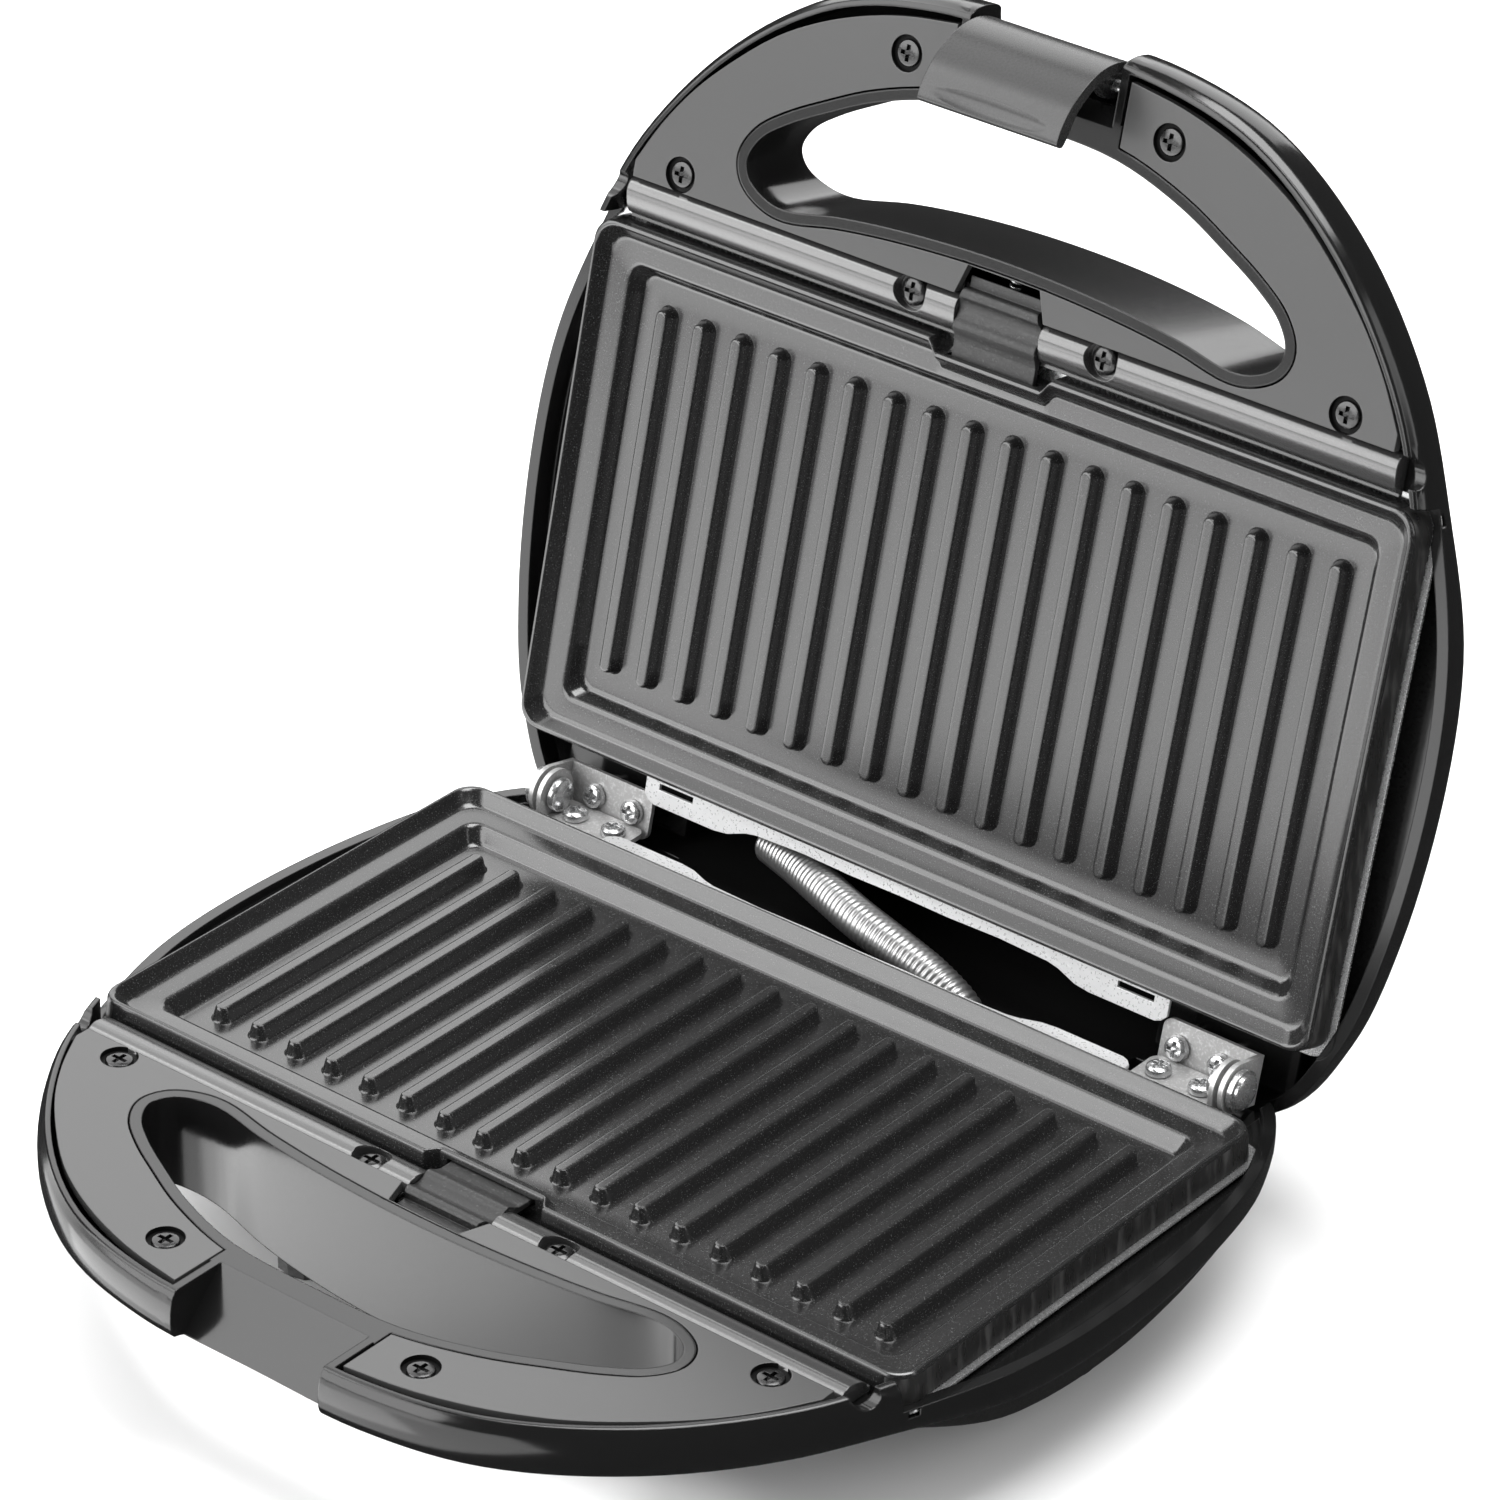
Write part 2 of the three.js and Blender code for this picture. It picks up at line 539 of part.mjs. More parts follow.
const SEAT_OUTER = REAR_GAP_HALF + 0.9;
function hingeSeats(outer, topZ) {
  return [-1, 1].map((side) => {
    const span = side > 0 ? [68, SEAT_OUTER] : [-SEAT_OUTER, -68];
    const floorZ = SHELF_Z[0] + GAP;
    return join(box(...span, 108, 124, floorZ, SHELF_Z[1] + GAP).intersect(outer),
      ...BRACKET_SCREWS_X.map((x) => post(side * x, HINGE_Y, floorZ, topZ, 3.4, 3.4, 8)));
  });
}

function hingeBores() {
  return [-1, 1].flatMap((side) => BRACKET_SCREWS_X.map((x) =>
    post(side * x, HINGE_Y, -14.2, 5, BORE, BORE, 8)));
}

// The base's rear is open between its two corners, down to a shelf on the bottom cover.
function baseShells() {
  const outer = housingSolid(RIM_Z);
  const rearCutter = box(-REAR_GAP_HALF, REAR_GAP_HALF, REAR_DROP_Y, FAR, BASE_REAR_TOP_Z, ABOVE);
  const coverZone = box(-FAR, FAR, COVER_FRONT_Y, FAR, BELOW, COVER_TOP_Z);
  const open = hollowHousing(outer).subtract(rearCutter);
  const seats = hingeSeats(outer, BASE_BRACKET_Z - BRACKET.thick - GAP);
  const housing = cut(join(open.subtract(coverZone), shelf(outer), ...sideDecks(outer), ...seats),
    ...handleBores(), ...hingeBores(), conduitHole());
  const rearShelf = box(-REAR_GAP_HALF, REAR_GAP_HALF, REAR_DROP_Y + 2 * GAP, FAR,
    BASE_REAR_TOP_Z - SHELF_THICK, BASE_REAR_TOP_Z).intersect(outer);
  const lowered = box(-FAR, FAR, COVER_FRONT_Y + GAP, FAR, BELOW, COVER_TOP_Z - GAP);
  const sideBosses = [-1, 1].map((side) => post(side * 99, 57, -40.5, -24, 8.5).subtract(hollowSolid(6)));
  const cover = cut(join(open, rearShelf).intersect(lowered), cordHole(), conduitHole(), ...ventSlots());
  return { outer, housing, cover: join(cover, ...sideBosses) };
}

function conduitHole() {
  const [x, y] = CONDUIT_PATH.at(-1);
  const radius = CONDUIT_RADIUS + 5 * GAP;
  return post(x - 2.4, y, -30, -10, radius, radius, 24);
}

const CORD = { x: 62, z: -27 };
function cordHole() {
  return pinY(CORD.x, 100, 150, CORD.z, 6.3);
}

function ventSlots() {
  return Array.from({ length: 7 }, (_, i) => box(-40, 40, 20 + 8 * i, 22.5 + 8 * i, -60, -30));
}

function cordBush() {
  const sleeve = pinY(CORD.x, 122, 133, CORD.z, 6);
  const flange = pinY(CORD.x, 131.4, 133.4, CORD.z, 8);
  return cut(join(sleeve, flange), pinY(CORD.x, 100, 150, CORD.z, 3.6));
}

const LENSES = [{ name: 'power_lens', x: -13 }, { name: 'ready_lens', x: 13 }];
const LENS_Y = 0;

function lidShell() {
  const outer = housingSolid(RIM_Z);
  const body = hollowHousing(outer);
  const hingeClearance = [[-REAR_GAP_HALF, -66], [66, REAR_GAP_HALF]].map(([x0, x1]) =>
    box(x0, x1, REAR_DROP_Y - 5, FAR, -9, ABOVE));
  const rearWallTop = box(-66, 66, 122, 140, SIDE_RIM_Z - 0.5, -1)
    .intersect(outer.subtract(hollowSolid(6)));
  const seats = hingeSeats(outer, LID_BRACKET_Z - BRACKET.thick - GAP);
  const pocket = box(-LATCH_HALF_WIDTH, LATCH_HALF_WIDTH, -100, -79.6, -11.5, -3.4);
  const lensHoles = LENSES.map(({ x }) => post(x, LENS_Y, -60, -30, 4.3));
  const pinHalf = NOTCH_HALF_WIDTH + 1.4;
  const pinHole = pinX(-pinHalf, pinHalf, LATCH_PIVOT.y, LATCH_PIVOT.z, LATCH_BORE, 16);
  const cleared = cut(body, ...hingeClearance);
  return cut(join(cleared, rearWallTop, shelf(outer), ...seats), ...handleBores(), ...hingeBores(),
    pocket, ...lensHoles, pinHole);
}

// ---- The latch: a curved cover hung on a pin in the lid's notch ----
function latch() {
  const outerArc = [
    [-89.6, -5.6], [-90, -1.5], [-89.4, 2.6], [-87.8, 6.8], [-85, 10.8], [-81.4, 14.2], [-77.2, 16.6],
    [-74.2, 17.4],
  ];
  const tip = [[-72.8, 16.8], [-72.6, 15.2], [-74.4, 14]];
  const innerArc = [
    [-79.6, 11.8], [-83.1, 8.7], [-85.6, 5.2], [-87, 1.8], [-87.4, -1.5], [-87, -5.6],
  ];
  const section = [...outerArc, ...tip, ...innerArc].reverse();
  const cover = sideProfile(section, -LATCH_HALF_WIDTH, LATCH_HALF_WIDTH);
  const armProfile = [
    [-88.2, -5.4], [-88.2, 1], [-86, 3], [-80.6, -4], [-80.4, -8], [-82, -9.8], [-85, -9.8],
  ];
  const arms = [-1, 1].map((side) => {
    const span = side > 0 ? [13, 15.5] : [-15.5, -13];
    return sideProfile(armProfile.slice().reverse(), ...span);
  });
  const bore = pinX(-17, 17, LATCH_PIVOT.y, LATCH_PIVOT.z, LATCH_BORE, 16);
  return cut(join(cover, ...arms), bore, fingerScoop());
}

// A barrel that hollows the latch's outer face above its free edge, deepest in the middle.
function fingerScoop() {
  const sides = 12;
  const axis = { y: -76.75, z: 19.85 };
  const barrel = [[-17.5, 2.7], [-13, 3.35], [-7, 3.85], [0, 4], [7, 3.85], [13, 3.35], [17.5, 2.7]];
  return loft(barrel.map(([x, radius]) => Array.from({ length: sides }, (_, i) => {
    const angle = (i / sides) * 2 * Math.PI;
    return new THREE.Vector3(x, axis.y - radius * Math.sin(angle), axis.z + radius * Math.cos(angle));
  })));
}

function latchSpring() {
  const turns = 6;
  const coil = Array.from({ length: turns * 8 + 1 }, (_, i) => {
    const angle = (i / 8) * 2 * Math.PI;
    return [-5 + (i / (turns * 8)) * 10,
      LATCH_PIVOT.y + 2.4 * Math.cos(angle), LATCH_PIVOT.z + 2.4 * Math.sin(angle)];
  });
  return tubeAlong(coil, 0.35, turns * 7, 4);
}

// ---- Assembly ----
function named(name, solid, makeMaterial) {
  const mesh = new THREE.Mesh(toGeometry(solid), makeMaterial());
  mesh.name = name;
  return mesh;
}

function halfPieces(half, bracketZ, axisZ, earOuterX) {
  const group = new THREE.Group();
  const add = (name, solid, makeMaterial) => group.add(named(`${half}_${name}`, solid, makeMaterial));
  add('handle_panel', handlePanel(), satinGrey);
  add('rail', rail(), glossBlack);
  add('release_clip', releaseClip(), matteBlack);
  add('clip_spring', clipSpring(), brightSteel);
  add('grill_plate', grillPlate(), nonStick);
  add('heat_shield', heatShield(), shieldAluminium);
  add('heating_element', heatingElement(), heaterSteel);
  add('plate_retainer', plateRetainer(), shieldAluminium);
  PANEL_SCREWS.forEach(([x, y], i) => {
    add(`panel_screw_${i + 1}`, crossHeadScrew(x, y, RIM_Z - GAP, PANEL_SCREW), darkSteel);
  });
  RAIL_SCREWS_X.forEach((x, i) => {
    add(`rail_screw_${i + 1}`, crossHeadScrew(x, RAIL.y, RAIL.z + 2.2, RAIL_SCREW), darkSteel);
  });
  [['left', -1], ['right', 1]].forEach(([word, side]) => {
    add(`hinge_bracket_${word}`, bracket(side, bracketZ, axisZ, earOuterX), brightSteel);
    BRACKET_SCREWS_X.forEach((x, i) => {
      const screw = crossHeadScrew(side * x, HINGE_Y, bracketZ + GAP + HINGE_SCREW.height, HINGE_SCREW);
      add(`hinge_screw_${word}_${i + 1}`, screw, brightSteel);
    });
  });
  return group;
}

function foot(x, y, outer) {
  return post(x, y, FLOOR_Z, -20, 7.5, 8).subtract(outer.translate([0, 0, -GAP]));
}

function hingeRivet(side) {
  const span = (a, b) => (side > 0 ? [a, b] : [-b, -a]);
  return join(pinX(...span(95.3, 101.6), HINGE_Y, HINGE_Z, 2.3),
    pinX(...span(93.5, 95.4), HINGE_Y, HINGE_Z, 4.2), pinX(...span(101.1, 102.4), HINGE_Y, HINGE_Z, 4.2),
    pinX(...span(99.7, 101.2), HINGE_Y, HINGE_Z, 5));
}

const CONDUIT_PATH = [
  [-44, 136.2, -3.6], [-33, 131.6, -2.6], [-20, 126, -2], [-7, 121.4, -2.4], [6.5, 118.8, -4],
  [18, 117.2, -6.4], [27, 116, -10.4], [31, 115.3, -15.5], [31.4, 115.2, -22],
];
const CONDUIT_RADIUS = 4.9;

function buildBase() {
  const { outer, housing, cover } = baseShells();
  const base = halfPieces('base', BASE_BRACKET_Z, HINGE_Z, BASE_EAR_X);
  const add = (name, solid, makeMaterial) => base.add(named(name, solid, makeMaterial));
  add('base_housing', housing, glossBlack);
  add('bottom_cover', cover, matteBlack);
  [['foot_front_left', -48, -19], ['foot_front_right', 48, -19],
    ['foot_rear_left', -78, 113], ['foot_rear_right', 78, 113]].forEach(([name, x, y]) => {
    add(name, foot(x, y, outer), rubberBlack);
  });
  add('cord_inlet_bush', cordBush(), rubberBlack);
  add('terminal_block', box(20, 46, 60, 74, -34.9, -23), ceramicWhite);
  add('thermal_fuse', pinX(-30, -12, 66, -24, 2.2), ceramicWhite);
  add('hinge_rivet_left', hingeRivet(-1), brightSteel);
  add('hinge_rivet_right', hingeRivet(1), brightSteel);
  return base;
}

function buildLid() {
  const lid = halfPieces('lid', LID_BRACKET_Z, -HINGE_Z, LID_EAR_X);
  const add = (name, solid, makeMaterial) => lid.add(named(name, solid, makeMaterial));
  add('lid_housing', lidShell(), glossBlack);
  add('latch', latch(), glossBlack);
  const pinHalf = NOTCH_HALF_WIDTH + 1;
  add('latch_pin', pinX(-pinHalf, pinHalf, LATCH_PIVOT.y, LATCH_PIVOT.z, 1.4, 16), brightSteel);
  add('latch_spring', latchSpring(), brightSteel);
  LENSES.forEach(({ name, x }) => {
    const lens = join(post(x, LENS_Y, -38.6, -33, 4), post(x, LENS_Y, -34, -31.6, 5.2));
    add(name, lens, name === 'power_lens' ? lensRed : lensGreen);
  });
  add('thermostat', join(box(-12, 12, 40, 56, -24, -17.4), box(-16, 16, 42, 54, -26, -23.9)), ceramicWhite);
  return lid;
}

// Opens a mirrored half about the hinge axis.
function opened(half) {
  half.position.set(0, -HINGE_Y, -HINGE_Z);
  half.scale.z = -1;
  const pivot = new THREE.Group();
  pivot.position.set(0, HINGE_Y, HINGE_Z);
  pivot.rotation.x = -OPEN_ANGLE;
  pivot.add(half);
  return pivot;
}

const press = new THREE.Group();
press.add(buildBase());
press.add(opened(buildLid()));
press.add(named('wire_conduit', tubeAlong(CONDUIT_PATH, CONDUIT_RADIUS, 14, 8), brightSteel));

// The origin is the middle of the footprint box, at the level of the feet.
press.updateMatrixWorld(true);
const bounds = new THREE.Box3().setFromObject(press, true);
const centre = bounds.getCenter(new THREE.Vector3());
press.position.set(-centre.x, -centre.y, -bounds.min.z);
press.updateMatrixWorld(true);

export default press;
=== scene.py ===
"""Looks of the panini press: fine pieces that stand for the CAD nodes, their materials, light and camera.

Each half is drawn in its own half frame, in millimetres: +X right, +Y towards the hinge, z = 0 on the parting
plane and the half's material below it. The base is moved straight into the row frame; the lid is the same
half mirrored in the parting plane and turned open about the hinge.
"""

import math

import bpy
import numpy as np
from mathutils import Euler, Matrix, Vector


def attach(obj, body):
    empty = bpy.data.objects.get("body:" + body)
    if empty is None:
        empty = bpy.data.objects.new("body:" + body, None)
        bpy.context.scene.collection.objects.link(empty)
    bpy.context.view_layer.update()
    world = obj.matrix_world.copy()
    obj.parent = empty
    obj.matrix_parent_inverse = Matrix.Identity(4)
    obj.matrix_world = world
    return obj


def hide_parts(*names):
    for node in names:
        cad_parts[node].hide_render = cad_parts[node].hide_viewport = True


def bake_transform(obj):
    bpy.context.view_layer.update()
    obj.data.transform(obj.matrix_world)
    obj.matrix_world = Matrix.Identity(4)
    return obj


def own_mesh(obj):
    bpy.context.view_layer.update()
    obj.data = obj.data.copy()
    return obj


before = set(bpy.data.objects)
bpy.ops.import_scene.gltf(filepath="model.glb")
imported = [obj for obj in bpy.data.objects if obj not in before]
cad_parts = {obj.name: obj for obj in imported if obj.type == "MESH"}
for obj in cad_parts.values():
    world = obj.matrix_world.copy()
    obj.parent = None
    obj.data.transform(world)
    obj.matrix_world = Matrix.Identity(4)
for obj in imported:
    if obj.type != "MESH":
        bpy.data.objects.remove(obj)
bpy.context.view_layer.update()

# ---- Frames ----
MM = 0.001
HALF_TO_ROW = Vector((0, -48.3804, 42.0))
HINGE_Y, HINGE_Z = 119.7, -2.56
OPEN_ANGLE = math.radians(102.6)
GAP = 0.3

# ---- Housing ----
RIM_Z = -0.3
RIM_WALL = 1.5
WALL = 2.6
SHELL_DEPTH = 38
FRONT_WALL_DEPTH, SIDE_WALL_DEPTH = 11.5, 15
SIDE_RIM_Z = -7
HANDLE_BACK_Y = -18.4
RAIL_BED_BACK_Y, RAIL_BED_Z = -19.8, -5.4
COVER_FRONT_Y, COVER_TOP_Z = -29, -15
SHELF_Z = (COVER_TOP_Z + 0.2, COVER_TOP_Z + 2.2)
DECK_TOP_Z, STEP_TOP_Z = -9.4, -11
REAR_DROP_Y, REAR_GAP_HALF, BASE_REAR_TOP_Z = 118, 104, -17
BULGE = 1.6
RIM_TRIM, FRONT_TRIM = 0.02, 0.26
SIDE_DOME_POWER, FRONT_DOME_POWER = 2.4, 1.05
FAR, TOOL_TOP_Z, BELOW_SHELL_Z = 300, 5, -60

RIM_HALF = [[0, -90], [30, -89.7], [57, -83], [83, -65], [104, -38.5], [114.5, -13],
            [122.5, 15], [124.6, 45], [121.8, 80], [115.3, 106], [102.5, 125.4], [70, 129.2], [0, 129.2]]
FLAT_HALF = [[0, -14], [18, -13], [34, -9], [50, -2], [68, 10], [84, 24],
             [96, 38], [100, 52], [98, 76], [92, 95], [80, 106], [60, 110], [0, 110]]
HOLE_FRONT_HALF = [[0, -70.4], [23, -69.4], [41, -64.2], [54, -58], [64, -52.5], [70.5, -47.5], [73.4, -42]]
HOLE_BACK_HALF = [[72, -37.6], [67, -34.4], [61, -33.4], [47, -36], [33, -37.7], [16, -38.9], [0, -39.3]]
HOLE_RIM = 2.6
NOTCH_HALF_WIDTH = 20.5
NOTCH_PROFILE = [[-120, 8], [-76, 8], [-76, RIM_Z], [-86.3, -10.8], [-120, -45]]
NOTCH_BACKING = [[-120, 8], [-73.6, 8], [-73.6, RIM_Z], [-86.3, -13.4], [-118, -45]]

# ---- Plate, shield, panel, rail, clip, brackets, latch ----
PLATE_HALF_X, PLATE_HALF_Y, PLATE_Y, PLATE_CORNER = 112.8, 62.6, 45.4, 5.5
JOG_HALF, JOG_FOOT, JOG_DEPTH = 14, 17, 3
RIB_COUNT, RIB_PITCH, RIB_FRONT, RIB_BACK, RIB_HEIGHT = 18, 11, 0, 90.7, 3.4
PANEL_THICKNESS, PANEL_BACK_Y = 2.2, -28.9
PANEL_EDGE_HALF = [[23.4, -87], [37.5, -84.9], [50, -81.4], [61, -76.8], [71, -71], [82, -62], [91, -53],
                   [98.5, -43], [104.3, -32.8]]
PANEL_END = [23.4, -71.6]
CLIP_CUT = [[12.2, PANEL_BACK_Y], [9.8, -36]]
SCREW_WELL_DEPTH, SCREW_WELL_RADIUS = 1.1, 4.2
PANEL_SCREWS = [[-91.1, -32.9], [-35.5, -77], [35.5, -77], [91.1, -32.9]]
RAIL_RADIUS, RAIL_Y, RAIL_Z, RAIL_HALF = 3.3, -25.3, -3.9, 105.6
RAIL_SCREWS_X, RAIL_WELL_RADIUS = [-24.2, 28.2], 4.4
CLIP_HALF_WIDTH, CLIP_FRONT_HALF, CLIP_TONGUE_Y = 11.2, 10, -13
CLIP_TONGUE_Z = (-3.4, -2.2)
CLIP_POCKET_HALF, CLIP_FOOT_HALF = CLIP_HALF_WIDTH - 4.4, CLIP_HALF_WIDTH - 5
BRACKET_INNER, BRACKET_THICK, BRACKET_HALF_Y = 73.5, 1.2, 6
BRACKET_SCREWS_X = [78.5, 90]
BASE_BRACKET_Z, LID_BRACKET_Z = -7, -5.2
BASE_EAR_X, LID_EAR_X = 97, 99.4
SHEET = 0.8
LATCH_Y, LATCH_Z, LATCH_HALF_WIDTH = -83.5, -6.5, 18.8
PIN_RADIUS, PIN_BORE = 1.4, 1.8
SHANK, BOSS = 1.5, 3.6
PANEL_SCREW, RAIL_SCREW, HINGE_SCREW = (3.1, 0.8, 8), (3.4, 1.8, 8), (3, 2, 7)
PANEL_BORE_Z, RAIL_BORE_Z, HINGE_BORE_Z, RAIL_BOSS_Z = -10.6, -14, -14.2, -14.4


# ---- Curves ----
def catmull(points, samples, closed=True):
    """A centripetal Catmull-Rom curve through the points, with a number of samples on each span."""
    pts = np.array(points, float)
    n = len(pts)
    out = []
    for i in range(n if closed else n - 1):
        p1, p2 = pts[i], pts[(i + 1) % n]
        p0 = pts[i - 1] if closed or i > 0 else 2 * p1 - p2
        p3 = pts[(i + 2) % n] if closed or i + 2 < n else 2 * p2 - p1
        d0, d1, d2 = (math.sqrt(np.linalg.norm(b - a)) for a, b in ((p0, p1), (p1, p2), (p2, p3)))
        t1 = ((p1 - p0) / d0 - (p2 - p0) / (d0 + d1) + (p2 - p1) / d1) * d1
        t2 = ((p2 - p1) / d1 - (p3 - p1) / (d1 + d2) + (p3 - p2) / d2) * d1
        for s in np.arange(samples) / samples:
            square, cube = 3 * (p2 - p1) - 2 * t1 - t2, 2 * (p1 - p2) + t1 + t2
            out.append(p1 + t1 * s + square * s ** 2 + cube * s ** 3)
    if not closed:
        out.append(pts[-1])
    return np.array(out)


def both_sides(half):
    """A closed outline from its right half, given from front centre to rear centre."""
    return half + [[-x, y] for x, y in half[-2:0:-1]]


def outward(curve):
    """Unit normals that point out of a closed curve that runs front, right, back, left."""
    along = np.roll(curve, -1, 0) - np.roll(curve, 1, 0)
    along /= np.linalg.norm(along, axis=1)[:, None]
    return np.column_stack([along[:, 1], -along[:, 0]])


# ---- Solids, as (points, faces) ----
def oriented(points, faces):
    """The solid with its faces pointing out."""
    v = np.asarray(points, float)
    volume = sum(np.dot(v[f[0]], np.cross(v[f[i]], v[f[i + 1]])) for f in faces for i in range(1, len(f) - 1))
    return v, ([list(f) for f in faces] if volume > 0 else [list(f)[::-1] for f in faces])


def loft(rings, closed=False):
    """Rings of equal length joined into one solid, with a flat face on each end or end joined to start."""
    count, levels = len(rings[0]), len(rings)
    faces = []
    for k in range(levels if closed else levels - 1):
        a, b = k * count, ((k + 1) % levels) * count
        faces += [[a + i, a + (i + 1) % count, b + (i + 1) % count, b + i] for i in range(count)]
    if not closed:
        faces += [list(range(count))[::-1], [(levels - 1) * count + i for i in range(count)]]
    return oriented(np.vstack(rings), faces)


def prism(outline, z0, z1):
    xy = np.array(outline, float)
    return loft([np.column_stack([xy, np.full(len(xy), z)]) for z in (z0, z1)])


def side_profile(yz, x0, x1):
    pts = np.array(yz, float)
    return loft([np.column_stack([np.full(len(pts), x), pts]) for x in (x0, x1)])


def box(x0, x1, y0, y1, z0, z1):
    return prism([[x0, y0], [x1, y0], [x1, y1], [x0, y1]], z0, z1)


def turned(axis, centre, profile, sides=32):
    """A turned solid on an axis: profile is (distance along the axis, radius) from one end to the other."""
    angle = np.arange(sides) / sides * 2 * math.pi
    rings = []
    for along, radius in profile:
        ring = np.zeros((sides, 3))
        ring[:, (axis + 1) % 3] = radius * np.cos(angle)
        ring[:, (axis + 2) % 3] = radius * np.sin(angle)
        ring[:, axis] = along
        rings.append(ring + np.array(centre))
    return loft(rings)


def post(x, y, z0, z1, radius, sides=32):
    return turned(2, (x, y, 0), [(z0, radius), (z1, radius)], sides)


def pin_x(x0, x1, y, z, radius, sides=32):
    return turned(0, (0, y, z), [(x0, radius), (x1, radius)], sides)


def pin_y(x, y0, y1, z, radius, sides=32):
    return turned(1, (x, 0, z), [(y0, radius), (y1, radius)], sides)


def tube(path, radii, sides=16):
    """A round section carried along a path; radii gives the radius at each point of the path."""
    path = np.array(path, float)
    along = np.gradient(path, axis=0)
    along /= np.linalg.norm(along, axis=1)[:, None]
    side = np.cross(along[0], [0.3, 0.1, 1])
    angle = np.arange(sides) / sides * 2 * math.pi
    rings = []
    for point, direction, radius in zip(path, along, radii):
        side = side - direction * np.dot(side, direction)
        side /= np.linalg.norm(side)
        up = np.cross(direction, side)
        rings.append(point + np.multiply.outer(np.cos(angle) * radius, side)
                     + np.multiply.outer(np.sin(angle) * radius, up))
    return loft(rings)


def together(*solids):
    """Several solids that don't meet, as one."""
    points, faces, start = [], [], 0
    for v, f in solids:
        points.append(v)
        faces += [[i + start for i in face] for face in f]
        start += len(v)
    return np.vstack(points), faces


def to_mesh(name, solid):
    mesh = bpy.data.meshes.new(name)
    mesh.from_pydata([tuple(p) for p in solid[0]], [], solid[1])
    mesh.update()
    return mesh


def shaped(solid, *steps):
    """The solid after a row of (operation, solid) steps: UNION, DIFFERENCE or INTERSECT."""
    made = [bpy.data.objects.new("shaping", to_mesh("shaping", s)) for s in [solid] + [s for _, s in steps]]
    for o in made:
        bpy.context.scene.collection.objects.link(o)
    for (operation, _), tool in zip(steps, made[1:]):
        change = made[0].modifiers.new("shaping", "BOOLEAN")
        change.operation = operation
        change.solver = "MANIFOLD"
        change.object = tool
    shape = made[0].evaluated_get(bpy.context.evaluated_depsgraph_get()).to_mesh()
    points = np.empty(len(shape.vertices) * 3)
    shape.vertices.foreach_get("co", points)
    result = points.reshape(-1, 3), [list(p.vertices) for p in shape.polygons]
    for o in made:
        mesh = o.data
        bpy.data.objects.remove(o)
        bpy.data.meshes.remove(mesh)
    return result


def join(first, *others):
    return shaped(first, *[("UNION", s) for s in others])


def cut(first, *tools):
    return shaped(first, *[("DIFFERENCE", s) for s in tools])


def within(solid, limit):
    return shaped(solid, ("INTERSECT", limit))


# ---- Materials ----
BUMP_DEPTH = 0.0001
NOISE_LOW, NOISE_HIGH = 0.3, 0.7


def node_material(name, colour, roughness, metallic=0.0, round_mm=0.0, coat=0.0):
    """A plain surface, with edges that look rounded by round_mm. Returns the material and its shader."""
    material = bpy.data.materials.new(name)
    material.use_nodes = True
    shader = material.node_tree.nodes["Principled BSDF"]
    shader.inputs["Base Color"].default_value = (*colour, 1)
    shader.inputs["Roughness"].default_value = roughness
    shader.inputs["Metallic"].default_value = metallic
    shader.inputs["Coat Weight"].default_value = coat
    shader.inputs["Coat Roughness"].default_value = 0.05
    if round_mm:
        rounding = material.node_tree.nodes.new("ShaderNodeBevel")
        rounding.samples = 6
        rounding.inputs["Radius"].default_value = round_mm * MM
        material.node_tree.links.new(rounding.outputs["Normal"], shader.inputs["Normal"])
    return material, shader


def add_grain(material, shader, scale, strength, stretch=(1, 1, 1), roughness_span=None, flecks=None,
              turn=0.0):
    """Fine bumps in the object's own coordinates.

    The roughness follows them, and their tops may have paler flecks: flecks is (colour, where they start,
    where they are full) on the noise's 0 to 1."""
    nodes, links = material.node_tree.nodes, material.node_tree.links
    place = nodes.new("ShaderNodeTexCoord")
    mapping = nodes.new("ShaderNodeMapping")
    mapping.inputs["Scale"].default_value = stretch
    mapping.inputs["Rotation"].default_value = (0, 0, turn)
    noise = nodes.new("ShaderNodeTexNoise")
    noise.inputs["Scale"].default_value = scale
    noise.inputs["Detail"].default_value = 3
    bump = nodes.new("ShaderNodeBump")
    bump.inputs["Strength"].default_value = strength
    bump.inputs["Distance"].default_value = BUMP_DEPTH
    links.new(place.outputs["Object"], mapping.inputs["Vector"])
    links.new(mapping.outputs["Vector"], noise.inputs["Vector"])
    links.new(noise.outputs["Fac"], bump.inputs["Height"])
    if shader.inputs["Normal"].is_linked:
        links.new(shader.inputs["Normal"].links[0].from_socket, bump.inputs["Normal"])
    links.new(bump.outputs["Normal"], shader.inputs["Normal"])
    if roughness_span:
        spread = nodes.new("ShaderNodeMapRange")
        spread.inputs["From Min"].default_value = NOISE_LOW
        spread.inputs["From Max"].default_value = NOISE_HIGH
        spread.inputs["To Min"].default_value = roughness_span[0]
        spread.inputs["To Max"].default_value = roughness_span[1]
        links.new(noise.outputs["Fac"], spread.inputs["Value"])
        links.new(spread.outputs["Result"], shader.inputs["Roughness"])
    if flecks:
        ramp = nodes.new("ShaderNodeValToRGB")
        ramp.color_ramp.elements[0].position, ramp.color_ramp.elements[1].position = flecks[1:]
        ramp.color_ramp.elements[0].color = shader.inputs["Base Color"].default_value
        ramp.color_ramp.elements[1].color = (*flecks[0], 1)
        links.new(noise.outputs["Fac"], ramp.inputs["Fac"])
        links.new(ramp.outputs["Color"], shader.inputs["Base Color"])
    return material


def finish(name, colour, roughness, grain, metallic=0.0, round_mm=0.0, coat=0.0, ior=1.5, **more):
    """A surface with its grain, given as (scale, strength)."""
    material, shader = node_material(name, colour, roughness, metallic, round_mm, coat)
    shader.inputs["IOR"].default_value = ior
    return add_grain(material, shader, *grain, **more)


